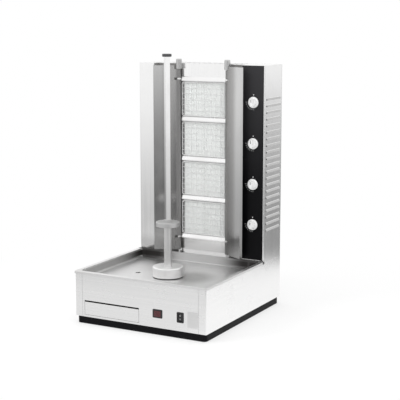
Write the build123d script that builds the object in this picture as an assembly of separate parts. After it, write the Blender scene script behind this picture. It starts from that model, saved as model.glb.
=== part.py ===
from build123d import *
import math
import os

# Millimetres, +Z up, the front faces -Y, the origin is on the floor under the middle of the whole

# Base casing
BASE_WIDTH = 580.0
BASE_DEPTH = 645.0
RIM_HEIGHT = 206.0
SHEET = 1.2
BEND = 4.0
SEAM = 0.6
CORNER_RETURN = 32.0
PLINTH_HEIGHT = 30.0
PLINTH_INSET = 4.0
PLINTH_WIDTH = 30.0
PLINTH_CORNER = 14.0
FOOT_PROUD = 2.0
FOOT_RADIUS = 18.0
FOOT_GAP = 6.0

# Drip pan
PAN_DEPTH = 36.0
PAN_WALL_INSET = 12.0
PAN_BACK_GAP = 6.0
PAN_CORNER = 18.0
PAN_FLOOR_BEND = 6.0
RIM_OVERHANG = 4.0
RIM_LIP = 9.0
RIM_CORNER = 9.0
RIM_ROUND = 1.0
PAN_COLLAR_HEIGHT = 14.0
DRAIN_RADIUS = 10.0
DRAIN_LENGTH = 20.0

# Grease drawer
DRAWER_FROM_SIDE = 42.0
DRAWER_ABOVE_PLINTH = 8.0
DRAWER_GAP = 1.0
FINGER_GAP = 6.0
FINGER_LIP = 12.0
FINGER_ROUND = 0.9
DRAWER_SHEET = 1.2
DRAWER_PAN_LENGTH = 390.0
DRAWER_PAN_LEFT_MARGIN = 8.0
DRAWER_PAN_RIGHT_MARGIN = 36.0
DRAWER_PAN_LIFT = 12.5
DRAWER_PAN_DROP = 17.0
DRAWER_GEAR_GAP = 14.0
RUNNER_WIDTH = 12.0
RUNNER_FIN = 2.0
RUNNER_FIN_HEIGHT = 12.0
RUNNER_PLAY = 0.4
RUNNER_GAP = 2.6

# Lamp and switch on the base front
LAMP_FROM_SIDE = 205.0
LAMP_ABOVE_PLINTH = 54.0
LAMP_WIDTH = 30.0
LAMP_HEIGHT = 22.0
SWITCH_FROM_SIDE = 108.0
SWITCH_ABOVE_PLINTH = 52.0
SWITCH_WIDTH = 18.0
SWITCH_HEIGHT = 29.0
FRAME_BORDER = 4.0
FRAME_PROUD = 2.4
FRAME_DEPTH = 18.0
FRAME_WALL = 1.5
FRAME_FIT = 0.2
LENS_PROUD = 1.2
LENS_ROUND = 1.0
ROCKER_TILT = 7.0
ROCKER_PIVOT_DEPTH = 5.0
ROCKER_PLAY_SIDE = 0.4
ROCKER_PLAY_END = 1.6
ROCKER_PIN_RADIUS = 1.5
ROCKER_PIN_REACH = 1.0

# Power inlet in the base back
SOCKET_FROM_SIDE = 86.0
SOCKET_ABOVE_PLINTH = 80.0
SOCKET_WIDTH = 25.0
SOCKET_HEIGHT = 17.0
SOCKET_WALL = 3.0
SOCKET_FLANGE = 12.0
SOCKET_FLANGE_THICK = 3.0
SOCKET_DEPTH = 16.0
SOCKET_PIN_SPACING = 7.0
SOCKET_PIN_WIDTH = 2.0
SOCKET_PIN_HEIGHT = 4.0

# Spit drive
SPIT_FROM_FRONT = 222.0
SHAFT_RADIUS = 10.0
RUNNING_FIT = 0.05
BUSH_WALL = 5.0
BLOCK_RADIUS = 27.0
BLOCK_HEIGHT = 24.0
BLOCK_FLOOR = 4.5
BRIDGE_HUB_GAP = 12.5
BRIDGE_PLATE = 5.0
BRIDGE_MARGIN = 4.0
BRIDGE_GEAR_GAP = 14.0
GEAR_MODULE = 2.0
GEAR_TEETH = 54
PINION_TEETH = 18
GEAR_WIDTH = 12.0
GEAR_HUB_RADIUS = 18.0
GEAR_HUB_EXTRA = 4.0
GEAR_BLOCK_GAP = 7.0
PRESSURE_ANGLE = 20.0
BACKLASH = 0.16
DEDENDUM = 1.25
FLANK_POINTS = 5
PINION_EXTRA = 1.0
PINION_SHAFT_RADIUS = 5.0
PINION_SHAFT_DEPTH = 14.0
GEARBOX_LENGTH = 78.0
GEARBOX_WIDTH = 70.0
GEARBOX_ROUND = 4.0
GEARBOX_BELOW_GEAR = 8.0
MOTOR_RADIUS = 29.0
MOTOR_LENGTH = 88.0
MOTOR_FLOOR_GAP = 5.5
BRACKET_HEIGHT = 14.5
BRACKET_PLATE = 3.0
BRACKET_INSET = 6.0

# Turntable and spit
TABLE_RADIUS = 60.0
TABLE_HEIGHT = 38.5
TABLE_SKIRT = 2.0
TABLE_TOP = 4.0
TABLE_ROUND = 5.0
TABLE_HUB_RADIUS = 17.0
TABLE_HUB_DROP = 21.5
TABLE_FLOOR_GAP = 3.5
COLLAR_CLEARANCE = 3.0
SOCKET_FIT = 0.2
SPIT_BAR = 18.0
SPIT_TURN = -40.0
SPIT_FOOT = 34.0
SPIT_SEAT_GAP = 0.2
SLEEVE_RADIUS = 15.0
SLEEVE_LENGTH = 158.0
DISC_RADIUS = 46.0
DISC_SHEET = 3.0
DISC_RIM = 17.0
DISC_ROUND = 2.5
DISC_BOSS = 8.0
TOP_KNOB_RADIUS = 18.0
TOP_KNOB_HEIGHT = 11.0
TOP_KNOB_ROUND = 3.0
TOP_SOCKET_DEPTH = 7.0
SPIT_ABOVE_TOWER = 49.0

# Tower
TOWER_HEIGHT = 776.0
TOWER_DEPTH = 157.0
LEFT_BOX = 72.0
CONTROL_BOX = 101.0
RECESS = 34.0
SURROUND_LAP = 12.0
SIDE_FLANGE = 6.0
REAR_FLANGE = 20.0
PANEL_RETURN = 10.0
TOE = 3.0
WALL_OFFSET = 5.0
SHIELD_GAP = 22.0
SHIELD_MARGIN = 26.0
VENT_LENGTH = 60.0
VENT_WIDTH = 8.0
VENT_PITCH = 24.0
VENT_COUNT = 14
VENT_END_ROUND = 3.9
LOUVRE_COUNT = 21
LOUVRE_PITCH = 26.0
LOUVRE_START = 124.0
LOUVRE_LENGTH = 126.0
LOUVRE_OPENING = 8.0
LOUVRE_PROUD = 3.8
LOUVRE_SHEET = 1.1

# Heating zones
ZONE_COUNT = 4
ZONE_FOOT = 65.0
ZONE_HEADER = 63.0
WINDOW_WIDTH = 190.0
BAR_HEIGHT = 20.0
BOX_LAP = 4.0
BOX_DEPTH = 45.0
BOX_WALL = 2.0
BOX_LEDGE = 4.0
PLATE_MARGIN = 4.0
PLATE_THICK = 12.0
PLATE_POCKET = 10.0
PLATE_FIT = 0.3
VENTURI_RADIUS = 13.0
VENTURI_LENGTH = 50.0
PIPE_RADIUS = 6.0
PIPE_BORE = 4.5
PIPE_FIT = 0.5
PIPE_INSERT = 10.0
GUARD_STANDOFF = 8.0
GUARD_THICK = 2.0
GUARD_BORDER = 5.0
GUARD_WIRE = 2.4
GUARD_COLUMNS = 9
GUARD_ROWS = 6
BAR_DEPTH = 12.0
BAR_SLOPE = 6.0
BAR_GAP = 2.0

# Gas supply and knobs
KNOB_FROM_SIDE = 50.0
KNOB_RADIUS = 22.0
KNOB_SKIRT = 5.0
KNOB_BODY_RADIUS = 16.5
KNOB_BODY_TIP = 15.0
KNOB_BODY_LENGTH = 9.0
KNOB_GRIP_WIDTH = 9.0
KNOB_GRIP_LENGTH = 9.0
KNOB_GAP = 1.5
KNOB_BORE_DEPTH = 15.0
SPINDLE_RADIUS = 4.0
SPINDLE_HOLE = 5.0
SPINDLE_DEPTH = 26.0
VALVE_WIDTH = 28.0
VALVE_HEIGHT = 30.0
VALVE_SETBACK = 9.0
VALVE_COLLAR = 9.0
MANIFOLD_RADIUS = 11.0
MANIFOLD_BORE = 8.5
MANIFOLD_SETBACK = 72.0
MANIFOLD_ABOVE = 30.0
INLET_RADIUS = 10.48
INLET_BORE = 7.5
INLET_REACH = 20.0
INLET_HEIGHT = 32.0
INLET_FLANGE_RADIUS = 17.0
INLET_FLANGE = 3.0
INLET_HOLE_PLAY = 0.4

# Side reflectors
HINGE_GAP = 10.0
HINGE_SETBACK = 14.0
ROD_RADIUS = 4.0
BARREL_WALL = 3.0
WING_LENGTH = 104.0
WING_LIP = 12.0
WING_ANGLE = 29.5
WING_BOTTOM_GAP = 8.0
WING_TOP_GAP = 8.0
LUG_THICK = 6.0
LUG_WIDTH = 16.0
LUG_FROM_END = 62.0
LUG_CLEARANCE = 1.5
NOTCH_RADIUS = 20.0
CAP_RADIUS = 12.0
CAP_RISE = 18.0
CAP_DROP = 22.0
CAP_ROUND = 4.0

# Screws of the tower back
SCREW_ROWS = 4
SCREW_RADIUS = 2.0
SCREW_HEAD_RADIUS = 4.5
SCREW_HEAD = 2.4
SCREW_LENGTH = 8.0
SCREW_HOLE_PLAY = 0.1
SCREW_INSET = 10.0
SCREW_END_MARGIN = 40.0

# Places derived from the sizes above
X_SHELL = BASE_WIDTH / 2 - RIM_OVERHANG
X_INSIDE = X_SHELL - SHEET
Y_FRONT = -(BASE_DEPTH + INLET_REACH) / 2
Y_SHELL = Y_FRONT + RIM_OVERHANG
Y_BACK = Y_FRONT + BASE_DEPTH
Y_TOWER = Y_BACK - TOWER_DEPTH
Y_RECESS = Y_TOWER + RECESS
Y_BOX = Y_RECESS + SHEET
Y_SPIT = Y_FRONT + SPIT_FROM_FRONT
Z_PLATE = PLINTH_HEIGHT + SHEET
Z_DECK = RIM_HEIGHT - SHEET
Z_PAN = RIM_HEIGHT - PAN_DEPTH
Z_TOP = RIM_HEIGHT + TOWER_HEIGHT
Z_ROOF = Z_TOP - SHEET

LAMP_X = X_SHELL - LAMP_FROM_SIDE
LAMP_Z = PLINTH_HEIGHT + LAMP_ABOVE_PLINTH
SWITCH_X = X_SHELL - SWITCH_FROM_SIDE
SWITCH_Z = PLINTH_HEIGHT + SWITCH_ABOVE_PLINTH
SOCKET_X = X_SHELL - SOCKET_FROM_SIDE
SOCKET_Z = PLINTH_HEIGHT + SOCKET_ABOVE_PLINTH

Z_TABLE_BOTTOM = Z_PAN + TABLE_FLOOR_GAP
Z_TABLE_TOP = Z_TABLE_BOTTOM + TABLE_HEIGHT
Z_HUB_BOTTOM = Z_TABLE_BOTTOM - TABLE_HUB_DROP
Z_SPIT_FOOT = Z_TABLE_TOP - SPIT_FOOT
Z_SHAFT_TOP = Z_SPIT_FOOT - SHEET
Z_SHAFT_BOTTOM = Z_PLATE + BLOCK_FLOOR
Z_BRIDGE = Z_HUB_BOTTOM - BRIDGE_HUB_GAP
Z_UPPER_BLOCK = Z_BRIDGE - BRIDGE_PLATE - BLOCK_HEIGHT + BLOCK_FLOOR
Z_DISC = Z_TABLE_TOP + SPIT_SEAT_GAP + SLEEVE_LENGTH
Z_SPIT_TOP = Z_TOP + SPIT_ABOVE_TOWER
Z_KNOB_SEAT = Z_SPIT_TOP - TOP_KNOB_HEIGHT + TOP_SOCKET_DEPTH
GEAR_Z = Z_UPPER_BLOCK - GEAR_BLOCK_GAP - GEAR_HUB_EXTRA - GEAR_WIDTH
GEAR_TIP = GEAR_MODULE * (GEAR_TEETH / 2 + 1)
CENTRE_DISTANCE = GEAR_MODULE * (GEAR_TEETH + PINION_TEETH) / 2
BRIDGE_WIDTH = 2 * (BLOCK_RADIUS + BRIDGE_MARGIN)
BRIDGE_SPAN = 2 * (GEAR_TIP + BRIDGE_GEAR_GAP + BRIDGE_PLATE)
Z_GEARBOX = Z_PLATE + BRACKET_HEIGHT
Z_GEARBOX_TOP = GEAR_Z - GEARBOX_BELOW_GEAR
X_GEARBOX = CENTRE_DISTANCE - GEARBOX_LENGTH / 2
Z_MOTOR = Z_PLATE + MOTOR_FLOOR_GAP + MOTOR_RADIUS

X_DRAWER = -X_SHELL + DRAWER_FROM_SIDE
X_DRAWER_PAN = X_DRAWER + DRAWER_PAN_LEFT_MARGIN
X_DRAWER_PAN_END = -BRIDGE_WIDTH / 2 - RUNNER_GAP - RUNNER_FIN - RUNNER_PLAY
X_DRAWER_END = X_DRAWER_PAN_END + DRAWER_PAN_RIGHT_MARGIN
Y_DRAWER_PAN = Y_SHELL + SHEET
Z_DRAWER = PLINTH_HEIGHT + DRAWER_ABOVE_PLINTH
Z_DRAWER_PAN = Z_PLATE + DRAWER_PAN_LIFT
Z_DRAWER_PAN_TOP = GEAR_Z - DRAWER_GEAR_GAP
Z_DRAWER_TOP = Z_DRAWER_PAN_TOP + DRAWER_PAN_DROP
X_DRAIN = (X_DRAWER_PAN + X_DRAWER_PAN_END) / 2

X_RECESS_LEFT = -X_SHELL + LEFT_BOX
X_RECESS_RIGHT = X_SHELL - CONTROL_BOX
X_PANEL_END = X_SHELL - SIDE_FLANGE - SEAM
X_WALL = X_RECESS_RIGHT + WALL_OFFSET
X_KNOB = X_SHELL - KNOB_FROM_SIDE
Y_PIPE = Y_BOX + BOX_DEPTH / 2
Y_MANIFOLD = Y_TOWER + MANIFOLD_SETBACK
Y_HINGE = Y_RECESS - HINGE_SETBACK
HINGE_X = WINDOW_WIDTH / 2 + GUARD_BORDER + HINGE_GAP
Z_INLET = RIM_HEIGHT + INLET_HEIGHT
ZONE_PITCH = (TOWER_HEIGHT - ZONE_FOOT - ZONE_HEADER) / ZONE_COUNT
WINDOW_HEIGHT = ZONE_PITCH - BAR_HEIGHT
ZONES = [RIM_HEIGHT + ZONE_FOOT + ZONE_PITCH * (k + 0.5) for k in range(ZONE_COUNT)]


def block(x0, x1, y0, y1, z0, z1):
    place = Pos((x0 + x1) / 2, (y0 + y1) / 2, (z0 + z1) / 2)
    return place * Box(x1 - x0, y1 - y0, z1 - z0)


def upright(x, y, z0, z1, radius):
    return Pos(x, y, (z0 + z1) / 2) * Cylinder(radius, z1 - z0)


def along_x(x0, x1, y, z, radius):
    return Pos((x0 + x1) / 2, y, z) * Rot(0, 90, 0) * Cylinder(radius, x1 - x0)


def along_y(y0, y1, x, z, radius):
    return Pos(x, (y0 + y1) / 2, z) * Rot(90, 0, 0) * Cylinder(radius, y1 - y0)


def rounded(width, depth, corner, x, y, z0, z1):
    return extrude(Pos(x, y, z0) * RectangleRounded(width, depth, corner), amount=z1 - z0)


def front_plate(width, height, corner, x, z, y0, y1):
    face = Pos(x, y1, z) * Rot(90, 0, 0) * RectangleRounded(width, height, corner)
    return extrude(face, amount=y1 - y0)


def bent_section(points, bend):
    path = FilletPolyline(*points, radius=bend)
    return make_face(path.wire().offset_2d(SHEET, side=Side.LEFT, closed=True))


def folded(points, bend, z0, z1):
    return extrude(Pos(0, 0, z0) * bent_section(points, bend), amount=z1 - z0)


def slot_through_z(length, width, x, y, z0, z1):
    return extrude(Pos(x, y, z0) * SlotOverall(length, width, 90), amount=z1 - z0)


def top_edges(part):
    return part.faces().sort_by(Axis.Z)[-1].edges()


def bottom_edges(part):
    return part.faces().sort_by(Axis.Z)[0].edges()


# Base casing

def base_front_panel():
    x1 = X_SHELL - CORNER_RETURN - SEAM
    panel = block(-x1, x1, Y_SHELL, Y_SHELL + SHEET, PLINTH_HEIGHT, Z_DECK)
    through = (Y_SHELL - SHEET, Y_SHELL + SHEET * 2)
    panel -= block(X_DRAWER, X_DRAWER_END, *through, Z_DRAWER, Z_DRAWER_TOP)
    panel -= block(*frame_hole(LAMP_X, LAMP_WIDTH), *through, *frame_hole(LAMP_Z, LAMP_HEIGHT))
    panel -= block(*frame_hole(SWITCH_X, SWITCH_WIDTH), *through, *frame_hole(SWITCH_Z, SWITCH_HEIGHT))
    return panel


def base_side_panels():
    points = [(X_SHELL - CORNER_RETURN, Y_SHELL), (X_SHELL, Y_SHELL), (X_SHELL, Y_BACK)]
    right = folded(points, BEND, PLINTH_HEIGHT, Z_DECK)
    return Compound([right, mirror(right, about=Plane.YZ)])


def base_back_panel():
    panel = block(-X_INSIDE, X_INSIDE, Y_BACK - SHEET, Y_BACK, PLINTH_HEIGHT, Z_DECK)
    width = SOCKET_WIDTH + 2 * (SOCKET_WALL + FRAME_FIT)
    height = SOCKET_HEIGHT + 2 * (SOCKET_WALL + FRAME_FIT)
    x0 = SOCKET_X - width / 2
    z0 = SOCKET_Z - height / 2
    return panel - block(x0, x0 + width, Y_BACK - 2 * SHEET, Y_BACK + SHEET, z0, z0 + height)


def base_plate():
    y0 = Y_SHELL + SHEET
    y1 = Y_BACK - SHEET
    return rounded(2 * X_INSIDE, y1 - y0, BEND, 0, (y0 + y1) / 2, PLINTH_HEIGHT, Z_PLATE)


def plinth_rails():
    x1 = X_SHELL - PLINTH_INSET
    y0 = Y_SHELL + PLINTH_INSET
    y1 = Y_BACK - PLINTH_INSET
    full = rounded(2 * x1, y1 - y0, PLINTH_CORNER, 0, (y0 + y1) / 2, FOOT_PROUD, PLINTH_HEIGHT)
    middle = (y0 + PLINTH_WIDTH, y1 - PLINTH_WIDTH)
    level = (FOOT_PROUD, PLINTH_HEIGHT)
    front = full & block(-x1, x1, y0, middle[0], *level)
    back = full & block(-x1, x1, middle[1], y1, *level)
    right = block(x1 - PLINTH_WIDTH, x1, *middle, *level)
    return Compound([front, back, right, mirror(right, about=Plane.YZ)])


def rubber_feet():
    inset = PLINTH_INSET + PLINTH_WIDTH + FOOT_GAP + FOOT_RADIUS
    x = X_SHELL - inset
    feet = []
    for y in (Y_SHELL + inset, Y_BACK - inset):
        for side in (-1, 1):
            feet.append(upright(side * x, y, 0, PLINTH_HEIGHT, FOOT_RADIUS))
    return Compound(feet)


# Drip pan

def pan_body(grow, z0, z1):
    x = X_SHELL - PAN_WALL_INSET - SHEET + grow
    y0 = Y_SHELL + PAN_WALL_INSET + SHEET - grow
    y1 = Y_TOWER - PAN_BACK_GAP - SHEET + grow
    body = rounded(2 * x, y1 - y0, PAN_CORNER + grow, 0, (y0 + y1) / 2, z0, z1)
    return fillet(bottom_edges(body), PAN_FLOOR_BEND + grow)


def pan_rim():
    length = Y_TOWER - SEAM - Y_FRONT
    z0 = RIM_HEIGHT - RIM_LIP
    y = Y_FRONT + length
    outer = rounded(BASE_WIDTH, 2 * length, RIM_CORNER, 0, y, z0, RIM_HEIGHT)
    outer = fillet(top_edges(outer), RIM_ROUND)
    width = BASE_WIDTH - 2 * SHEET
    inner = rounded(width, 2 * (length - SHEET), RIM_CORNER - SHEET, 0, y, z0, Z_DECK)
    rim = outer - inner
    behind = block(-BASE_WIDTH, BASE_WIDTH, y, y + BASE_DEPTH, 0, RIM_HEIGHT * 2)
    return rim - behind


def drip_pan():
    pan = pan_rim() + pan_body(SHEET, Z_PAN - SHEET, Z_DECK + SHEET / 2)
    collar_bore = TABLE_HUB_RADIUS + COLLAR_CLEARANCE
    pan += pan_spout()
    pan -= pan_body(0, Z_PAN, RIM_HEIGHT + SHEET)
    pan += upright(0, Y_SPIT, Z_PAN - SHEET, Z_PAN + PAN_COLLAR_HEIGHT, collar_bore + SHEET)
    pan -= upright(0, Y_SPIT, Z_PAN - PAN_DEPTH, RIM_HEIGHT, collar_bore)
    return pan - upright(X_DRAIN, Y_SPIT, Z_PAN - 2 * DRAIN_LENGTH, RIM_HEIGHT, DRAIN_RADIUS)


def pan_spout():
    return upright(X_DRAIN, Y_SPIT, Z_PAN - DRAIN_LENGTH, Z_PAN, DRAIN_RADIUS + SHEET)


# Grease drawer

def drawer_front():
    x0 = X_DRAWER + DRAWER_GAP
    x1 = X_DRAWER_END - DRAWER_GAP
    z0 = Z_DRAWER + DRAWER_GAP
    z1 = Z_DRAWER_TOP - FINGER_GAP
    front = block(x0, x1, Y_SHELL, Y_SHELL + SHEET, z0, z1)
    front += block(x0, x1, Y_SHELL, Y_SHELL + FINGER_LIP, z1 - SHEET, z1)
    edge = front.edges().filter_by(Axis.X).sort_by(Axis.Z)[-2:].sort_by(Axis.Y)[0]
    return fillet(edge, FINGER_ROUND)


def drawer_pan():
    y1 = Y_DRAWER_PAN + DRAWER_PAN_LENGTH
    z1 = Z_DRAWER_PAN_TOP
    t = DRAWER_SHEET
    pan = block(X_DRAWER_PAN, X_DRAWER_PAN_END, Y_DRAWER_PAN, y1, Z_DRAWER_PAN, z1)
    return pan - block(X_DRAWER_PAN + t, X_DRAWER_PAN_END - t, Y_DRAWER_PAN + t, y1 - t,
                       Z_DRAWER_PAN + t, z1 + t)


def drawer_runners():
    y0 = Y_DRAWER_PAN + FINGER_LIP
    y1 = Y_DRAWER_PAN + DRAWER_PAN_LENGTH
    z1 = Z_DRAWER_PAN - RUNNER_PLAY
    fin_top = z1 + RUNNER_FIN_HEIGHT
    runners = []
    for edge, side in ((X_DRAWER_PAN, -1), (X_DRAWER_PAN_END, 1)):
        inner = edge - side * RUNNER_WIDTH
        fin = edge + side * RUNNER_PLAY
        outer = fin + side * RUNNER_FIN
        ledge = block(min(inner, outer), max(inner, outer), y0, y1, Z_PLATE, z1)
        wall = block(min(fin, outer), max(fin, outer), y0, y1, Z_PLATE, fin_top)
        runners.append(ledge + wall)
    return Compound(runners)


# Lamp and switch

def frame_hole(centre, size):
    half = size / 2 + FRAME_WALL + FRAME_FIT
    return (centre - half, centre + half)


def panel_frame(x, z, width, height):
    wide = width + 2 * (FRAME_WALL + FRAME_BORDER)
    tall = height + 2 * (FRAME_WALL + FRAME_BORDER)
    flange = front_plate(wide, tall, FRAME_BORDER, x, z, Y_SHELL - FRAME_PROUD, Y_SHELL)
    flange = fillet(flange.faces().sort_by(Axis.Y)[0].edges(), FRAME_PROUD / 2)
    half_wide = width / 2 + FRAME_WALL
    half_tall = height / 2 + FRAME_WALL
    y1 = Y_SHELL + FRAME_DEPTH
    body = block(x - half_wide, x + half_wide, Y_SHELL, y1, z - half_tall, z + half_tall)
    window = block(x - width / 2, x + width / 2, Y_SHELL - 2 * FRAME_PROUD, y1 - FRAME_WALL,
                   z - height / 2, z + height / 2)
    return flange + body - window


def lamp_frame():
    return panel_frame(LAMP_X, LAMP_Z, LAMP_WIDTH, LAMP_HEIGHT)


def lamp_lens():
    width = LAMP_WIDTH - 2 * FRAME_FIT
    height = LAMP_HEIGHT - 2 * FRAME_FIT
    y0 = Y_SHELL - FRAME_PROUD - LENS_PROUD
    y1 = Y_SHELL + FRAME_DEPTH - FRAME_WALL
    lens = block(LAMP_X - width / 2, LAMP_X + width / 2, y0, y1, LAMP_Z - height / 2, LAMP_Z + height / 2)
    return fillet(lens.faces().sort_by(Axis.Y)[0].edges(), LENS_ROUND)


def rocker_pivot(reach, radius):
    half = SWITCH_WIDTH / 2 + reach
    return along_x(SWITCH_X - half, SWITCH_X + half, Y_SHELL + ROCKER_PIVOT_DEPTH, SWITCH_Z, radius)


def switch_frame():
    frame = panel_frame(SWITCH_X, SWITCH_Z, SWITCH_WIDTH, SWITCH_HEIGHT)
    return frame - rocker_pivot(ROCKER_PIN_REACH + RUNNING_FIT, ROCKER_PIN_RADIUS + RUNNING_FIT)


def switch_rocker():
    half = SWITCH_HEIGHT / 2 - ROCKER_PLAY_END
    width = SWITCH_WIDTH - 2 * ROCKER_PLAY_SIDE
    reach = ROCKER_PIVOT_DEPTH + FRAME_PROUD / 2
    dip = reach - half * math.tan(math.radians(ROCKER_TILT)) / 2
    heel = ROCKER_PIVOT_DEPTH
    points = [(-reach, -half), (-dip, 0), (-reach, half), (0, half), (heel, 0), (0, -half)]
    side = Plane.YZ * Polygon(*points, align=None)
    rocker = extrude(side, amount=width / 2, both=True)
    rocker = Pos(SWITCH_X, Y_SHELL + ROCKER_PIVOT_DEPTH, SWITCH_Z) * Rot(-ROCKER_TILT, 0, 0) * rocker
    return rocker + rocker_pivot(ROCKER_PIN_REACH, ROCKER_PIN_RADIUS)


# Power inlet

def power_inlet():
    wide = SOCKET_WIDTH + 2 * SOCKET_WALL
    tall = SOCKET_HEIGHT + 2 * SOCKET_WALL
    y1 = Y_BACK + SOCKET_FLANGE_THICK
    y0 = y1 - SOCKET_DEPTH - SOCKET_WALL
    flange = front_plate(wide + 2 * SOCKET_FLANGE, tall, SOCKET_WALL, SOCKET_X, SOCKET_Z, Y_BACK, y1)
    flange += front_plate(wide + 2 * SOCKET_WALL, tall + 2 * SOCKET_WALL, SOCKET_WALL, SOCKET_X, SOCKET_Z,
                          Y_BACK, y1)
    x0 = SOCKET_X - wide / 2
    z0 = SOCKET_Z - tall / 2
    body = block(x0, x0 + wide, y0, Y_BACK, z0, z0 + tall)
    well = front_plate(SOCKET_WIDTH, SOCKET_HEIGHT, SOCKET_WALL, SOCKET_X, SOCKET_Z, y1 - SOCKET_DEPTH, y1)
    inlet = flange + body - well
    half = SOCKET_PIN_WIDTH / 2
    low = SOCKET_Z - SOCKET_PIN_HEIGHT / 4
    for step, rise in ((-1, 0), (0, SOCKET_PIN_HEIGHT), (1, 0)):
        x = SOCKET_X + step * SOCKET_PIN_SPACING
        z0 = low + rise
        z1 = z0 + SOCKET_PIN_HEIGHT
        inlet += block(x - half, x + half, y0 + SOCKET_WALL / 2, y1 - SOCKET_WALL, z0, z1)
    return inlet


# Spit drive

def involute_point(base, radius, turn, side):
    roll = math.sqrt(max(radius * radius / (base * base) - 1, 0))
    angle = turn + side * (roll - math.atan(roll))
    return (radius * math.cos(angle), radius * math.sin(angle))


def gear_outline(teeth):
    pitch = GEAR_MODULE * teeth / 2
    slope = math.radians(PRESSURE_ANGLE)
    base = pitch * math.cos(slope)
    tip = pitch + GEAR_MODULE
    root = pitch - DEDENDUM * GEAR_MODULE
    start = max(base, root)
    half = math.pi / (2 * teeth) - BACKLASH / (2 * pitch) + math.tan(slope) - slope
    rises = range(FLANK_POINTS)
    radii = [start + (tip - start) * k / (FLANK_POINTS - 1) for k in rises]
    step = 2 * math.pi / teeth
    edges = []
    for k in range(teeth):
        turn = step * k
        rise = [involute_point(base, r, turn - half, 1) for r in radii]
        fall = [involute_point(base, r, turn + half, -1) for r in reversed(radii)]
        low = (root * math.cos(turn - half), root * math.sin(turn - half))
        low_end = (root * math.cos(turn + half), root * math.sin(turn + half))
        next_low = (root * math.cos(turn + step - half), root * math.sin(turn + step - half))
        crown = (tip * math.cos(turn), tip * math.sin(turn))
        valley = (root * math.cos(turn + step / 2), root * math.sin(turn + step / 2))
        if start > root:
            edges.append(Line(low, rise[0]))
        edges.append(Spline(*rise))
        edges.append(ThreePointArc(rise[-1], crown, fall[0]))
        edges.append(Spline(*fall))
        if start > root:
            edges.append(Line(fall[-1], low_end))
            edges.append(ThreePointArc(low_end, valley, next_low))
        else:
            next_rise = involute_point(base, start, turn + step - half, 1)
            edges.append(ThreePointArc(fall[-1], valley, next_rise))
    return make_face(edges)


def drive_gear():
    gear = extrude(Pos(0, Y_SPIT, GEAR_Z) * gear_outline(GEAR_TEETH), amount=GEAR_WIDTH)
    z0 = GEAR_Z - GEAR_HUB_EXTRA
    z1 = GEAR_Z + GEAR_WIDTH + GEAR_HUB_EXTRA
    gear += upright(0, Y_SPIT, z0, z1, GEAR_HUB_RADIUS)
    return gear - upright(0, Y_SPIT, z0 - SHEET, z1 + SHEET, SHAFT_RADIUS + RUNNING_FIT)


def pinion_shaft():
    half_tooth = 180 / PINION_TEETH
    z0 = GEAR_Z - PINION_EXTRA
    z1 = GEAR_Z + GEAR_WIDTH + PINION_EXTRA
    place = Pos(CENTRE_DISTANCE, Y_SPIT, z0) * Rot(0, 0, half_tooth * (1 - PINION_TEETH % 2))
    pinion = extrude(place * gear_outline(PINION_TEETH), amount=z1 - z0)
    foot = Z_GEARBOX_TOP - PINION_SHAFT_DEPTH
    return pinion + upright(CENTRE_DISTANCE, Y_SPIT, foot, z1, PINION_SHAFT_RADIUS)


def drive_shaft():
    return upright(0, Y_SPIT, Z_SHAFT_BOTTOM + SPIT_SEAT_GAP, Z_SHAFT_TOP, SHAFT_RADIUS)


def bearing_blocks():
    bore = SHAFT_RADIUS + BUSH_WALL
    lower = upright(0, Y_SPIT, Z_PLATE, Z_PLATE + BLOCK_HEIGHT, BLOCK_RADIUS)
    lower -= upright(0, Y_SPIT, Z_SHAFT_BOTTOM, Z_PLATE + 2 * BLOCK_HEIGHT, bore)
    z0 = Z_UPPER_BLOCK
    z1 = Z_BRIDGE - BRIDGE_PLATE
    upper = upright(0, Y_SPIT, z0, z1, BLOCK_RADIUS) - upright(0, Y_SPIT, z0 - SHEET, z1 + SHEET, bore)
    return Compound([lower, upper])


def shaft_bushes():
    length = BLOCK_HEIGHT - BLOCK_FLOOR
    bushes = []
    for z0 in (Z_SHAFT_BOTTOM, Z_UPPER_BLOCK):
        ring = upright(0, Y_SPIT, z0, z0 + length, SHAFT_RADIUS + BUSH_WALL)
        bushes.append(ring - upright(0, Y_SPIT, z0 - SHEET, z0 + length + SHEET, SHAFT_RADIUS + RUNNING_FIT))
    return Compound(bushes)


def bearing_bridge():
    half = BRIDGE_WIDTH / 2
    z0 = Z_BRIDGE - BRIDGE_PLATE
    y0 = Y_SPIT - BRIDGE_SPAN / 2
    y1 = Y_SPIT + BRIDGE_SPAN / 2
    plate = block(-half, half, y0, y1, z0, Z_BRIDGE)
    plate -= upright(0, Y_SPIT, z0 - SHEET, Z_BRIDGE + SHEET, SHAFT_RADIUS + BUSH_WALL)
    front = block(-half, half, y0, y0 + BRIDGE_PLATE, Z_PLATE, z0)
    back = block(-half, half, y1 - BRIDGE_PLATE, y1, Z_PLATE, z0)
    return Compound([plate, front, back])


def gearbox():
    half = GEARBOX_WIDTH / 2
    x1 = X_GEARBOX + GEARBOX_LENGTH
    box = block(X_GEARBOX, x1, Y_SPIT - half, Y_SPIT + half, Z_GEARBOX, Z_GEARBOX_TOP)
    box = fillet(box.edges().filter_by(Axis.Z), GEARBOX_ROUND)
    z0 = Z_GEARBOX_TOP - PINION_SHAFT_DEPTH - SPIT_SEAT_GAP
    bore = PINION_SHAFT_RADIUS + RUNNING_FIT
    return box - upright(CENTRE_DISTANCE, Y_SPIT, z0, Z_GEARBOX_TOP + SHEET, bore)


def motor():
    x0 = X_GEARBOX + GEARBOX_LENGTH
    can = along_x(x0, x0 + MOTOR_LENGTH, Y_SPIT, Z_MOTOR, MOTOR_RADIUS)
    return fillet(can.faces().sort_by(Axis.X)[-1].edges(), GEARBOX_ROUND)


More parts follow.
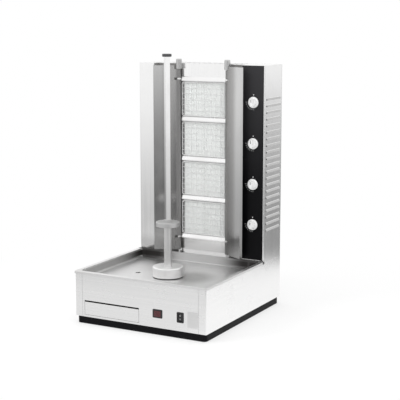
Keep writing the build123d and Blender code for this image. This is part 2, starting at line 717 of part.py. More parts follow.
def motor_bracket():
    x0 = X_GEARBOX + BRACKET_INSET
    x1 = X_GEARBOX + GEARBOX_LENGTH - BRACKET_INSET
    half = GEARBOX_WIDTH / 2 - BRACKET_INSET
    bracket = block(x0, x1, Y_SPIT - half, Y_SPIT + half, Z_GEARBOX - BRACKET_PLATE, Z_GEARBOX)
    for side in (-1, 1):
        outer = Y_SPIT + side * half
        inner = outer - side * BRACKET_PLATE
        bracket += block(x0, x1, min(inner, outer), max(inner, outer), Z_PLATE, Z_GEARBOX)
    return bracket


# Turntable and spit

def square_bar(play, z0, z1):
    half = SPIT_BAR / 2 + play
    return Pos(0, Y_SPIT, 0) * Rot(0, 0, SPIT_TURN) * block(-half, half, -half, half, z0, z1)


def turntable():
    table = upright(0, Y_SPIT, Z_TABLE_BOTTOM, Z_TABLE_TOP, TABLE_RADIUS)
    table = fillet(top_edges(table), TABLE_ROUND)
    inner = TABLE_RADIUS - TABLE_SKIRT
    hollow = upright(0, Y_SPIT, Z_TABLE_BOTTOM - SHEET, Z_TABLE_TOP - TABLE_TOP, inner)
    table -= fillet(top_edges(hollow), TABLE_ROUND - TABLE_SKIRT)
    table += upright(0, Y_SPIT, Z_HUB_BOTTOM, Z_TABLE_TOP, TABLE_HUB_RADIUS)
    table -= square_bar(SOCKET_FIT, Z_SPIT_FOOT - SPIT_SEAT_GAP, Z_TABLE_TOP + SHEET)
    return table - upright(0, Y_SPIT, Z_HUB_BOTTOM - SHEET, Z_SHAFT_TOP, SHAFT_RADIUS + RUNNING_FIT)


def spit_bar():
    return square_bar(0, Z_SPIT_FOOT, Z_KNOB_SEAT)


def square_hole(z0, z1):
    return square_bar(RUNNING_FIT, z0, z1)


def spit_sleeve():
    z0 = Z_TABLE_TOP + SPIT_SEAT_GAP
    return upright(0, Y_SPIT, z0, Z_DISC, SLEEVE_RADIUS) - square_hole(z0 - SHEET, Z_DISC + SHEET)


def meat_disc():
    z1 = Z_DISC + DISC_RIM
    disc = upright(0, Y_SPIT, Z_DISC, z1, DISC_RADIUS)
    disc = fillet(top_edges(disc), DISC_ROUND)
    disc -= upright(0, Y_SPIT, Z_DISC - SHEET, z1 - DISC_SHEET, DISC_RADIUS - DISC_SHEET)
    disc += upright(0, Y_SPIT, Z_DISC, z1 + DISC_BOSS, SLEEVE_RADIUS)
    return disc - square_hole(Z_DISC - SHEET, z1 + 2 * DISC_BOSS)


def top_knob():
    z0 = Z_SPIT_TOP - TOP_KNOB_HEIGHT
    knob = upright(0, Y_SPIT, z0, Z_SPIT_TOP, TOP_KNOB_RADIUS)
    knob = fillet(top_edges(knob) + bottom_edges(knob), TOP_KNOB_ROUND)
    return knob - square_hole(z0 - SHEET, Z_KNOB_SEAT + RUNNING_FIT)


# Tower casing

def tower_floor():
    floor = block(-X_SHELL, X_SHELL, Y_TOWER, Y_BACK, Z_DECK, RIM_HEIGHT)
    return floor + block(X_RECESS_RIGHT, X_PANEL_END, Y_TOWER, Y_TOWER + SHEET, RIM_HEIGHT, RIM_HEIGHT + TOE)


def back_holes(y0, y1):
    holes = []
    rise = (TOWER_HEIGHT - 2 * SCREW_END_MARGIN) / (SCREW_ROWS - 1)
    for row in range(SCREW_ROWS):
        z = RIM_HEIGHT + SCREW_END_MARGIN + row * rise
        for side in (-1, 1):
            x = side * (X_SHELL - SCREW_INSET)
            holes.append(along_y(y0, y1, x, z, SCREW_RADIUS + SCREW_HOLE_PLAY))
    return holes


def left_casing():
    y1 = Y_BACK - SHEET
    points = [(-X_SHELL + REAR_FLANGE, y1), (-X_SHELL, y1), (-X_SHELL, Y_TOWER), (X_RECESS_LEFT, Y_TOWER),
              (X_RECESS_LEFT, Y_RECESS)]
    return folded(points, BEND, RIM_HEIGHT, Z_ROOF) - back_holes(y1 - 2 * SHEET, Y_BACK)


def louvre(z):
    y = (Y_TOWER + Y_BACK) / 2
    half = LOUVRE_OPENING / 2
    foot = X_SHELL - SHEET
    points = [(foot, z + half), (X_SHELL, z + half + SHEET), (X_SHELL + LOUVRE_PROUD, z - half),
              (X_SHELL + LOUVRE_PROUD - LOUVRE_SHEET, z - half)]
    front = Plane(origin=(0, y, 0), x_dir=(1, 0, 0), z_dir=(0, -1, 0))
    return extrude(front * Polygon(*points, align=None), amount=LOUVRE_LENGTH / 2, both=True)


def right_side_panel():
    y1 = Y_BACK - SHEET
    points = [(X_SHELL - SIDE_FLANGE, Y_TOWER), (X_SHELL, Y_TOWER), (X_SHELL, y1),
              (X_SHELL - REAR_FLANGE, y1)]
    panel = folded(points, BEND, RIM_HEIGHT, Z_ROOF) - back_holes(y1 - 2 * SHEET, Y_BACK)
    y = (Y_TOWER + Y_BACK) / 2
    half = LOUVRE_OPENING / 2
    rows = [RIM_HEIGHT + LOUVRE_START + k * LOUVRE_PITCH for k in range(LOUVRE_COUNT)]
    reach = LOUVRE_LENGTH / 2
    x0 = X_SHELL - 2 * SHEET
    x1 = X_SHELL + SHEET
    panel -= [block(x0, x1, y - reach, y + reach, z - half, z + half) for z in rows]
    return panel + [louvre(z) for z in rows]


def control_panel():
    points = [(X_RECESS_RIGHT, Y_RECESS), (X_RECESS_RIGHT, Y_TOWER), (X_PANEL_END, Y_TOWER),
              (X_PANEL_END, Y_TOWER + PANEL_RETURN)]
    panel = folded(points, BEND, RIM_HEIGHT + TOE, Z_ROOF)
    return panel - [along_y(Y_TOWER - SHEET, Y_TOWER + 2 * SHEET, X_KNOB, z, SPINDLE_HOLE) for z in ZONES]


def tower_top():
    top = block(-X_SHELL, X_SHELL, Y_TOWER, Y_BACK, Z_ROOF, Z_TOP)
    top -= block(X_RECESS_LEFT, X_RECESS_RIGHT, Y_TOWER - SHEET, Y_RECESS, Z_ROOF - SHEET, Z_TOP + SHEET)
    y = Y_BOX + BOX_DEPTH
    first = -VENT_PITCH * (VENT_COUNT - 1) / 2
    for k in range(VENT_COUNT):
        x = first + k * VENT_PITCH
        top -= slot_through_z(VENT_LENGTH, VENT_WIDTH, x, y, Z_ROOF - SHEET, Z_TOP + SHEET)
    return top


def tower_back_panel():
    panel = block(-X_SHELL, X_SHELL, Y_BACK - SHEET, Y_BACK, RIM_HEIGHT, Z_ROOF)
    panel -= back_holes(Y_BACK - 2 * SHEET, Y_BACK + SHEET)
    reach = (Y_BACK - 2 * SHEET, Y_BACK + SHEET)
    panel -= along_y(*reach, X_KNOB, Z_INLET, INLET_RADIUS + INLET_HOLE_PLAY)
    first = -VENT_PITCH * (VENT_COUNT - 1) / 2
    for z in (ZONES[0], ZONES[-1]):
        for k in range(VENT_COUNT):
            panel -= front_plate(VENT_WIDTH, VENT_LENGTH, VENT_END_ROUND, first + k * VENT_PITCH, z, *reach)
    return panel


def casing_screws():
    screws = []
    for shank in back_holes(Y_BACK - SCREW_LENGTH, Y_BACK + SHEET):
        centre = shank.center()
        body = along_y(Y_BACK - SCREW_LENGTH, Y_BACK, centre.X, centre.Z, SCREW_RADIUS)
        head = along_y(Y_BACK, Y_BACK + SCREW_HEAD, centre.X, centre.Z, SCREW_HEAD_RADIUS)
        head = fillet(head.faces().sort_by(Axis.Y)[-1].edges(), SCREW_HEAD / 2)
        screws.append(body + head)
    return Compound(screws)


def burner_surround():
    x0 = X_RECESS_LEFT - SURROUND_LAP
    x1 = X_WALL + SHEET
    sheet = block(x0, x1, Y_RECESS, Y_BOX, RIM_HEIGHT, Z_ROOF)
    half = WINDOW_WIDTH / 2
    tall = WINDOW_HEIGHT / 2
    return sheet - [block(-half, half, Y_RECESS - SHEET, Y_BOX + SHEET, z - tall, z + tall) for z in ZONES]


def heat_shield():
    y0 = Y_BOX + BOX_DEPTH + SHIELD_GAP
    return block(X_RECESS_LEFT + SHIELD_MARGIN, X_WALL - SHIELD_MARGIN, y0, y0 + SHEET, RIM_HEIGHT, Z_ROOF)


def control_box_wall():
    wall = block(X_WALL, X_WALL + SHEET, Y_BOX, Y_BACK - SHEET, RIM_HEIGHT, Z_ROOF)
    bore = PIPE_RADIUS + PIPE_FIT
    return wall - [along_x(X_WALL - SHEET, X_WALL + 2 * SHEET, Y_PIPE, z, bore) for z in ZONES]


# Heating zones

def plate_size(play):
    return (WINDOW_WIDTH / 2 - PLATE_MARGIN + play, WINDOW_HEIGHT / 2 - PLATE_MARGIN + play)


def burner_box(z):
    half = WINDOW_WIDTH / 2 + BOX_LAP
    tall = WINDOW_HEIGHT / 2 + BOX_LAP
    y_ledge = Y_BOX + PLATE_POCKET
    box = block(-half, half, Y_BOX, Y_BOX + BOX_DEPTH, z - tall, z + tall)
    wide, high = plate_size(PLATE_FIT)
    box -= block(-wide, wide, Y_BOX - SHEET, y_ledge, z - high, z + high)
    wide, high = plate_size(-BOX_LEDGE)
    box -= block(-wide, wide, Y_BOX, y_ledge + BOX_LEDGE, z - high, z + high)
    wide = half - BOX_WALL
    high = tall - BOX_WALL
    box -= block(-wide, wide, y_ledge + BOX_WALL, Y_BOX + BOX_DEPTH - BOX_WALL, z - high, z + high)
    box += along_x(half, half + VENTURI_LENGTH, Y_PIPE, z, VENTURI_RADIUS)
    return box - along_x(0, half + 2 * VENTURI_LENGTH, Y_PIPE, z, PIPE_RADIUS + PIPE_FIT)


def ceramic_plate(z):
    wide, high = plate_size(0)
    y1 = Y_BOX + PLATE_POCKET
    return block(-wide, wide, y1 - PLATE_THICK, y1, z - high, z + high)


def burner_guard(z):
    half = WINDOW_WIDTH / 2 + GUARD_BORDER
    tall = WINDOW_HEIGHT / 2 - BAR_GAP
    y1 = Y_RECESS - GUARD_STANDOFF
    cell_wide = (2 * (half - GUARD_BORDER) - (GUARD_COLUMNS - 1) * GUARD_WIRE) / GUARD_COLUMNS
    cell_tall = (2 * (tall - GUARD_BORDER) - (GUARD_ROWS - 1) * GUARD_WIRE) / GUARD_ROWS
    net = Rectangle(2 * half, 2 * tall)
    for column in range(GUARD_COLUMNS):
        x = (column - (GUARD_COLUMNS - 1) / 2) * (cell_wide + GUARD_WIRE)
        for row in range(GUARD_ROWS):
            rise = (row - (GUARD_ROWS - 1) / 2) * (cell_tall + GUARD_WIRE)
            net -= Pos(x, rise) * Rectangle(cell_wide, cell_tall)
    guard = extrude(Pos(0, y1, z) * Rot(90, 0, 0) * net, amount=GUARD_THICK)
    for x0 in (-half, half - GUARD_BORDER):
        for z0 in (z - tall, z + tall - GUARD_BORDER):
            guard += block(x0, x0 + GUARD_BORDER, y1, Y_RECESS, z0, z0 + GUARD_BORDER)
    return guard


def divider_bar(z):
    half = WINDOW_WIDTH / 2 + GUARD_BORDER
    low = z - BAR_HEIGHT / 2
    high = z + BAR_HEIGHT / 2
    y0 = Y_RECESS - BAR_DEPTH
    points = [(Y_RECESS, high), (y0 + BAR_SLOPE, high), (y0, low), (Y_RECESS, low)]
    left_end = Plane(origin=(-half, 0, 0), x_dir=(0, 1, 0), z_dir=(1, 0, 0))
    return extrude(left_end * bent_section(points, BEND), amount=2 * half)


def divider_bars():
    levels = [ZONES[0] - ZONE_PITCH / 2] + [z + ZONE_PITCH / 2 for z in ZONES]
    return Compound([divider_bar(z) for z in levels])


# Gas supply and knobs

def gas_manifold():
    z0 = Z_INLET - 2 * MANIFOLD_RADIUS
    z1 = ZONES[-1] + MANIFOLD_ABOVE
    pipe = upright(X_KNOB, Y_MANIFOLD, z0, z1, MANIFOLD_RADIUS)
    return pipe - upright(X_KNOB, Y_MANIFOLD, z0 + SHEET, z1 - SHEET, MANIFOLD_BORE)


def gas_valve(z):
    half = VALVE_WIDTH / 2
    tall = VALVE_HEIGHT / 2
    y0 = Y_TOWER + VALVE_SETBACK
    valve = block(X_KNOB - half, X_KNOB + half, y0, Y_MANIFOLD, z - tall, z + tall)
    valve += along_y(Y_TOWER + SHEET, y0, X_KNOB, z, VALVE_COLLAR)
    valve -= upright(X_KNOB, Y_MANIFOLD, z - VALVE_HEIGHT, z + VALVE_HEIGHT, MANIFOLD_RADIUS)
    depth = Y_TOWER + SPINDLE_DEPTH + SPIT_SEAT_GAP
    return valve - along_y(Y_TOWER, depth, X_KNOB, z, SPINDLE_RADIUS + RUNNING_FIT)


def injector_pipe(z):
    x0 = WINDOW_WIDTH / 2 + BOX_LAP + VENTURI_LENGTH - PIPE_INSERT
    x1 = X_KNOB - VALVE_WIDTH / 2
    pipe = along_x(x0, x1, Y_PIPE, z, PIPE_RADIUS)
    return pipe - along_x(x0 - SHEET, x1 + SHEET, Y_PIPE, z, PIPE_BORE)


def gas_inlet():
    y1 = Y_BACK + INLET_REACH
    inlet = along_y(Y_MANIFOLD, y1, X_KNOB, Z_INLET, INLET_RADIUS)
    inlet += along_y(Y_BACK, Y_BACK + INLET_FLANGE, X_KNOB, Z_INLET, INLET_FLANGE_RADIUS)
    inlet -= upright(X_KNOB, Y_MANIFOLD, Z_INLET - INLET_HEIGHT, Z_INLET + INLET_HEIGHT, MANIFOLD_RADIUS)
    return inlet - along_y(Y_MANIFOLD, y1 + SHEET, X_KNOB, Z_INLET, INLET_BORE)


def knob(z):
    y_back = Y_TOWER - KNOB_GAP
    y_skirt = y_back - KNOB_SKIRT
    y_body = y_skirt - KNOB_BODY_LENGTH
    y_tip = y_body - KNOB_GRIP_LENGTH
    skirt = along_y(y_skirt, y_back, X_KNOB, z, KNOB_RADIUS)
    skirt = fillet(skirt.faces().sort_by(Axis.Y)[0].edges(), KNOB_SKIRT / 2)
    body = Pos(X_KNOB, (y_body + y_skirt) / 2, z) * Rot(90, 0, 0) * Cone(KNOB_BODY_RADIUS, KNOB_BODY_TIP,
                                                                         KNOB_BODY_LENGTH)
    half = KNOB_GRIP_WIDTH / 2
    grip = block(X_KNOB - half, X_KNOB + half, y_tip, y_skirt, z - KNOB_BODY_TIP, z + KNOB_BODY_TIP)
    grip &= along_y(y_tip, y_skirt, X_KNOB, z, KNOB_BODY_TIP)
    grip = fillet(grip.faces().sort_by(Axis.Y)[0].edges(), half / 3)
    y_bore = y_back - KNOB_BORE_DEPTH - SPIT_SEAT_GAP
    shaft_hole = along_y(y_bore, Y_TOWER, X_KNOB, z, SPINDLE_RADIUS + RUNNING_FIT)
    return skirt + body + grip - shaft_hole


def tap_spindle(z):
    y0 = Y_TOWER - KNOB_GAP - KNOB_BORE_DEPTH
    return along_y(y0, Y_TOWER + SPINDLE_DEPTH, X_KNOB, z, SPINDLE_RADIUS)


# Side reflectors

def lug_levels():
    return (RIM_HEIGHT + LUG_FROM_END, Z_TOP - LUG_FROM_END)


def hinge_rod():
    rod = upright(HINGE_X, Y_HINGE, RIM_HEIGHT, Z_TOP, ROD_RADIUS)
    cap = upright(HINGE_X, Y_HINGE, Z_TOP - CAP_DROP, Z_TOP + CAP_RISE, CAP_RADIUS)
    return rod + fillet(top_edges(cap), CAP_ROUND)


def hinge_rods():
    right = hinge_rod()
    return Compound([right, mirror(right, about=Plane.YZ)])


def hinge_brackets():
    half = LUG_WIDTH / 2
    lugs = []
    for z in lug_levels():
        level = (z - LUG_THICK / 2, z + LUG_THICK / 2)
        lug = block(HINGE_X - half, HINGE_X + half, Y_HINGE, Y_RECESS, *level)
        lug += upright(HINGE_X, Y_HINGE, *level, half)
        lug -= upright(HINGE_X, Y_HINGE, level[0] - SHEET, level[1] + SHEET, ROD_RADIUS + RUNNING_FIT)
        lugs.append(lug)
        lugs.append(mirror(lug, about=Plane.YZ))
    return Compound(lugs)


def right_wing():
    outer = ROD_RADIUS + RUNNING_FIT + BARREL_WALL
    plan = Circle(outer) + Pos(WING_LENGTH / 2, SHEET / 2 - outer) * Rectangle(WING_LENGTH, SHEET)
    plan += Pos(WING_LENGTH - SHEET / 2, WING_LIP / 2 - outer) * Rectangle(SHEET, WING_LIP)
    plan -= Circle(ROD_RADIUS + RUNNING_FIT)
    z0 = RIM_HEIGHT + WING_BOTTOM_GAP
    z1 = Z_TOP - WING_TOP_GAP
    place = Pos(HINGE_X, Y_HINGE, z0) * Rot(0, 0, -WING_ANGLE)
    wing = extrude(place * plan, amount=z1 - z0)
    reach = LUG_THICK / 2 + LUG_CLEARANCE
    for z in lug_levels():
        wing -= upright(HINGE_X, Y_HINGE, z - reach, z + reach, NOTCH_RADIUS)
    return wing - upright(HINGE_X, Y_HINGE, Z_TOP - CAP_DROP - LUG_CLEARANCE, Z_TOP, NOTCH_RADIUS)


def left_wing():
    return mirror(right_wing(), about=Plane.YZ)


def all_nodes():
    nodes = {
        "base_front_panel": base_front_panel(),
        "base_side_panels": base_side_panels(),
        "base_back_panel": base_back_panel(),
        "base_plate": base_plate(),
        "plinth_rails": plinth_rails(),
        "rubber_feet": rubber_feet(),
        "drip_pan": drip_pan(),
        "drawer_front": drawer_front(),
        "drawer_pan": drawer_pan(),
        "drawer_runners": drawer_runners(),
        "lamp_frame": lamp_frame(),
        "lamp_lens": lamp_lens(),
        "switch_frame": switch_frame(),
        "switch_rocker": switch_rocker(),
        "power_inlet": power_inlet(),
        "drive_gear": drive_gear(),
        "pinion_shaft": pinion_shaft(),
        "drive_shaft": drive_shaft(),
        "bearing_blocks": bearing_blocks(),
        "shaft_bushes": shaft_bushes(),
        "bearing_bridge": bearing_bridge(),
        "gearbox": gearbox(),
        "motor": motor(),
        "motor_bracket": motor_bracket(),
        "turntable": turntable(),
        "spit_bar": spit_bar(),
        "spit_sleeve": spit_sleeve(),
        "meat_disc": meat_disc(),
        "top_knob": top_knob(),
        "tower_floor": tower_floor(),
        "left_casing": left_casing(),
        "right_side_panel": right_side_panel(),
        "control_panel": control_panel(),
        "tower_top": tower_top(),
        "tower_back_panel": tower_back_panel(),
        "casing_screws": casing_screws(),
        "burner_surround": burner_surround(),
        "heat_shield": heat_shield(),
        "control_box_wall": control_box_wall(),
        "burner_boxes": Compound([burner_box(z) for z in ZONES]),
        "ceramic_plates": Compound([ceramic_plate(z) for z in ZONES]),
        "burner_guards": Compound([burner_guard(z) for z in ZONES]),
        "divider_bars": divider_bars(),
        "gas_manifold": gas_manifold(),
        "gas_valves": Compound([gas_valve(z) for z in ZONES]),
        "injector_pipes": Compound([injector_pipe(z) for z in ZONES]),
        "gas_inlet": gas_inlet(),
        "hinge_rods": hinge_rods(),
        "hinge_brackets": hinge_brackets(),
        "left_wing": left_wing(),
        "right_wing": right_wing(),
    }
    for number, z in enumerate(reversed(ZONES), start=1):
        nodes[f"knob_{number}"] = knob(z)
        nodes[f"tap_spindle_{number}"] = tap_spindle(z)
    return nodes


os.makedirs("parts", exist_ok=True)
for name, shape in all_nodes().items():
    export_step(shape, f"parts/{name}.step")
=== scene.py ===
import bpy
import bmesh
import math
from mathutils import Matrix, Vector


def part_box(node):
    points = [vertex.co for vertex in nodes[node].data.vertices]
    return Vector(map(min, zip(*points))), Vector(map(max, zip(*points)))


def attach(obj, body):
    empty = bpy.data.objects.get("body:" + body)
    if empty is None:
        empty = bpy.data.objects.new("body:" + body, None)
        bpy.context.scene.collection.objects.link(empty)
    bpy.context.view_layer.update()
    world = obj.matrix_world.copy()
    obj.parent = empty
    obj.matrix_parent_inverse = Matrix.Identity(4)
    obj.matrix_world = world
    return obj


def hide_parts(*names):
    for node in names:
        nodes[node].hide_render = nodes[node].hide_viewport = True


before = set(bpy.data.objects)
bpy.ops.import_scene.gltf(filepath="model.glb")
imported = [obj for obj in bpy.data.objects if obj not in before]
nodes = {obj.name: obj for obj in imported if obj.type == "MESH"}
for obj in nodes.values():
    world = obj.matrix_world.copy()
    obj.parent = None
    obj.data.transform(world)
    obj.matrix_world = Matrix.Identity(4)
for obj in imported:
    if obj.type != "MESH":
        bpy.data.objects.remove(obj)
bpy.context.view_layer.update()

# Lengths are in metres and angles in degrees, unless a comment says otherwise.

# Burner tiles and wire guards, with the wires' ends in shares of their radius
ZONE_COUNT = 4
BAR_HEIGHT = 0.020
TILE_COLUMNS = 19
TILE_ROWS = 28
TILE_RIM = 0.0012
TILE_DIMPLE = 0.0012
TILE_JOINT = 0.0008
GUARD_COLUMNS = 9
GUARD_ROWS = 6
GUARD_WIRE_RADIUS = 0.0011
GUARD_RIM_RADIUS = 0.0018
GUARD_RIM_BEND = 0.006
GUARD_LEG_RADIUS = 0.0016
GUARD_LEG_INSET = (0.0025, 0.008)
WIRE_SIDES = 10
WIRE_END_INSET = 0.4
WIRE_END_CROWN = 0.3

# Lamp lens
LENS_RIBS = 9
LENS_RIB_DEPTH = 0.0011

# Pointers on the knobs, and the marks printed round them
MARK_PROUD = 0.00025
POINTER_WIDTH = 0.0026
POINTER_DEPTH = 0.0012
POINTER_REACH = (0.001, 0.0128)
POINTER_BEVEL = 0.0003
DIAL_RADIUS = 0.0275
DIAL_TICKS = 7
DIAL_START = 90
DIAL_SWEEP = 90
TICK_WIDTH = 0.0014
TICK_LENGTHS = (0.0075, 0.0030)
TICK_BEVEL = 0.0002
DOT_RADIUS = 0.0021
DOT_RISE = 0.002
DOT_BORDER = 0.0007
DOT_SIDES = 20

# Marks on the rocker. A place is the half of the rocker, the distance in front of the base
# and the lean as a share of the rocker's tilt.
ROCKER_TILT = 7.0
ROCKER_MARK_RISE = 0.0066
STROKE_PLACE = (-1, 0.00165, -1.5)
STROKE_HALF = (0.0006, 0.00015, 0.0026)
STROKE_BEVEL = 0.0001
RING_PLACE = (1, 0.00005, -0.5)
RING_RADIUS = 0.0024
RING_WIRE_RADIUS = 0.0004

# Bare label plate
LABEL_MIDDLE = (0.2295, 0.0790)
LABEL_WIDTH = 0.043
LABEL_HEIGHT = 0.062
LABEL_THICK = 0.0008
LABEL_BEVEL = 0.0004
LABEL_BORDER = 0.0024
LABEL_STEP = 0.0004
LABEL_SUNK = 0.0003

# Gas inlet
INLET_CREST = 0.01048
INLET_BORE = 0.0075
INLET_FLOOR = 0.004
INLET_SIDES = 40
FLANGE_THICK = 0.003
FLANGE_SIDES = 6
FLANGE_BEVEL = 0.0008
THREAD_RIDGE = 0.0007
THREAD_PITCH = 0.001814
THREAD_STEPS = 28

# Casing screws, with the rounding of a head as a share of its height
SCREW_ROWS = 4
SCREW_HEAD_RADIUS = 0.0045
SCREW_HEAD_ROUND = 0.45
SCREW_SHANK_RADIUS = 0.0020
SCREW_SHANK_SIDES = 16
SCREW_SHANK_LAP = 0.0002
RECESS_HALF = (0.0005, 0.0012, 0.0026)
RECESS_BEVEL = 0.0001

# Pins of the power inlet, with depths counted from its mouth
PIN_SPACING = 0.007
PIN_RISES = (-0.0010, 0.0030, -0.0010)
PIN_WIDTH = 0.0023
PIN_DEPTHS = (0.0165, 0.0028)
PIN_HEIGHTS = (-0.00015, 0.00415)
PIN_BEVEL = 0.0004

# Painted shade on the casing, surround and reflectors just above the pan, on the louvre hoods and in the
# recess corners; heat near the reflectors' hinge; painted light on the panel's top: two distances from an
# edge, where the mark ends and where it is full
CASING_SHADE_BAND = (0.075, 0.0225)
SURROUND_SHADE_BAND = (0.060, 0.015)
REFLECTOR_SHADE_BAND = (0.1275, 0.030)
LOUVRE_SHADE_BAND = (0.0, 0.001)
RECESS_SHADE_BEHIND_FRONT = (0.004, 0.014)
RECESS_SHADE_PAST_HINGE = (0.004, 0.014)
RECESS_SHADE_PAST_RECESS = (0.008, 0.004)
HINGE_HEAT = (0.018, 0.009)
HINGE_TINT = (0.080, 0.048)
PANEL_PALE_TOP = (-0.55, 0.08)

# Painted shade in the pan, in the same way, and a painted shadow beside the dish.
# The slope is the upward share of a wall's normal.
PAN_DEPTH = 0.036
PAN_WALL_SLOPE = (0.9, 0.35)
PAN_WALL_FOOT = (0.003, 0.010)
PAN_WALL_TOP = (-0.003, -0.008)
PAN_WALL_SIDE = (-0.0095, -0.0125)
PAN_WALL_FRONT = (0.010, 0.014)
PAN_CORNER_SIDE = (0.03, 0.20)
PAN_CORNER_BACK = (-0.20, -0.03)
PAN_LEDGE_SIDE = (0.06, 0.22)
PAN_LEDGE_BACK = (-0.018, -0.013)
# Painted shadow beside the dish on the pan floor: its middle from the spit's axis, then the radii where
# it fades out and where it is full
DISH_SHADOW_OFFSET = (0.090, 0.030)
DISH_SHADOW_RADII = (0.135, 0.050)

# Directions of the grain, as the scale of its noise along each axis
HORIZONTAL = (0.8, 0.8, 300.0)
UPRIGHT = (420.0, 420.0, 3.0)
REFLECTOR_GRAIN = (300.0, 300.0, 2.0)
BAR_GRAIN = (3.0, 300.0, 300.0)
EVEN_GRAIN = (120.0, 120.0, 120.0)
LABEL_GRAIN = (3.0, 3.0, 300.0)
PAN_GRAIN = (5, 260, 260)
# Noise that breaks up the painted shade and shadow in the pan
PAN_BREAKUP_GRAIN = (60, 60, 6)

# Levels of the studio, and the floor's size and radii
SCATTERED_LIGHT = 0.80
FLOOR_SIZE = 160
FLOOR_SPECK = 40.0
FLOOR_TONES = (0.86, 0.88)
SHADOW_WHITE = 0.62
SHADOW_EDGE = (0.45, 1.3)
SWEEP_EDGE = (1.0, 1.4)
SWEEP_WHITE = 1.0
ROOM_NEAR = 1.8
ROOM_FAR = 14.0
ROOM_GREY = 0.55
# Greyer front of the sweep: azimuth and half width, share of the light
SWEEP_FRONT = (-18.0, 62, 0.80)
# Darker parts of the room: azimuth and half width, near and far radius, share of the light
DARK_SIDES = (
    (28.8, 40, 3.5, 60.0, 0.31),
    (152.0, 70, 8.0, 15.0, 0.56),
    (-112.0, 22, 1.5, 60.0, 0.40),
)
# Soft lamps: place, aim, width and height, watts
SOFTBOXES = {
    "key": ((-2.2, -2.6, 2.6), (0, 0, 0.5), (1.8, 1.8), 55),
    "fill": ((2.8, -1.0, 1.8), (0, 0, 0.4), (1.6, 1.6), 22),
    "overhead": ((0, 0.2, 3.2), (0, 0, 0.4), (2.2, 2.2), 30),
}

# Camera, with its sensor and lens in millimetres
CAMERA_PLACE = (2.094, -3.713, 1.187)
CAMERA_DOWN = 9.74
CAMERA_TURN = 28.45
CAMERA_SENSOR = 36.0
CAMERA_LENS = 98.7

# Turns in radians, and the least share of a normal along Y of a face that looks front or back
TO_FRONT = (math.radians(90), 0, 0)
TO_BACK = (math.radians(-90), 0, 0)
SQUARE_ON = 0.99

# Places read from the frame
spit_low, spit_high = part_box("spit_bar")
spit_y = (spit_low.y + spit_high.y) / 2
bars_low, bars_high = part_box("divider_bars")
zone_pitch = (bars_high.z - bars_low.z - BAR_HEIGHT) / ZONE_COUNT
first_zone = bars_low.z + (BAR_HEIGHT + zone_pitch) / 2
pan_low, pan_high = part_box("drip_pan")
hinge_low, hinge_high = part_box("hinge_rods")
hinge_y = (hinge_low.y + hinge_high.y) / 2
hinge_x = hinge_high.x - (hinge_high.y - hinge_low.y) / 2
front_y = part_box("base_front_panel")[0].y
panel_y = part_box("control_panel")[0].y
panel_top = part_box("control_panel")[1].z
back_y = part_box("tower_back_panel")[1].y
side_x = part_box("tower_top")[1].x
tower_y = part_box("left_casing")[0].y
recess_x = abs(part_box("left_casing")[1].x)


# Shader graphs

class Flow:
    """A shader socket on which Python's operators add Math nodes."""

    def __init__(self, graph, socket):
        self.graph = graph
        self.socket = socket

    def math(self, operation, *terms):
        settings = {"operation": operation}
        return self.graph.add("ShaderNodeMath", 0, settings, dict(enumerate(terms)))

    def __add__(self, other):
        return self.math("ADD", self, other)

    def __sub__(self, other):
        return self.math("SUBTRACT", self, other)

    def __rsub__(self, other):
        return self.math("SUBTRACT", other, self)

    def __mul__(self, other):
        return self.math("MULTIPLY", self, other)

    def __truediv__(self, other):
        return self.math("DIVIDE", self, other)

    __radd__ = __add__
    __rmul__ = __mul__


class Graph:
    """The nodes of one material or of the world."""

    def __init__(self, tree):
        self.tree = tree
        tree.nodes.clear()

    def add(self, kind, output=0, settings=None, sockets=None):
        """Adds a node, sets it, feeds its sockets and gives one of its outputs."""
        node = self.tree.nodes.new(kind)
        for name, value in (settings or {}).items():
            setattr(node, name, value)
        for name, value in (sockets or {}).items():
            if isinstance(value, Flow):
                self.tree.links.new(value.socket, node.inputs[name])
            else:
                node.inputs[name].default_value = value
        return Flow(self, node.outputs[output]) if node.outputs else None

    def place(self, scale=(1, 1, 1), shift=(0, 0, 0)):
        """The place on the object, scaled and then shifted."""
        here = self.add("ShaderNodeTexCoord", "Object")
        sockets = {"Vector": here, "Location": shift, "Scale": scale}
        return self.add("ShaderNodeMapping", 0, {"vector_type": "POINT"}, sockets)

    def axis(self, name):
        return self.add("ShaderNodeSeparateXYZ", name, None, {0: self.place()})

    def aside(self):
        """Distance from the middle plane."""
        across = self.axis("X")
        return across.math("ABSOLUTE", across)

    def length(self, vector):
        return self.add("ShaderNodeVectorMath", 1, {"operation": "LENGTH"}, {0: vector})

    def from_upright(self, x, y):
        """Distance from an upright line."""
        return self.length(self.place((1, 1, 0), (-x, -y, 0)))

    def noise(self, where, scale, detail=2.0, rough=0.5):
        sockets = {"Vector": where, "Scale": scale, "Detail": detail, "Roughness": rough}
        return self.add("ShaderNodeTexNoise", 0, None, sockets)

    def between(self, value, low, high, bottom=0.0, top=1.0):
        """A smooth ramp between two values."""
        settings = {"interpolation_type": "SMOOTHSTEP"}
        sockets = {0: value, 1: low, 2: high, 3: bottom, 4: top}
        return self.add("ShaderNodeMapRange", 0, settings, sockets)

    def from_edge(self, value, edge, band, bottom=0.0, top=1.0):
        """A smooth ramp between two distances from an edge."""
        return self.between(value, edge + band[0], edge + band[1], bottom, top)

    def blend(self, share, first, second):
        settings = {"data_type": "RGBA", "clamp_factor": True}
        return self.add("ShaderNodeMix", 2, settings, {0: share, 6: first, 7: second})

    def bump(self, height, strength, distance):
        sockets = {"Height": height, "Strength": strength, "Distance": distance}
        return self.add("ShaderNodeBump", 0, None, sockets)


def grey(value, warm=0.0):
    """A grey, with a little more red and less blue where it is warm."""
    return (value * (1 + warm), value, value * (1 - warm), 1)


def new_finish(name):
    """A new material and its empty graph."""
    material = bpy.data.materials.new(name)
    material.use_nodes = True
    return material, Graph(material.node_tree)


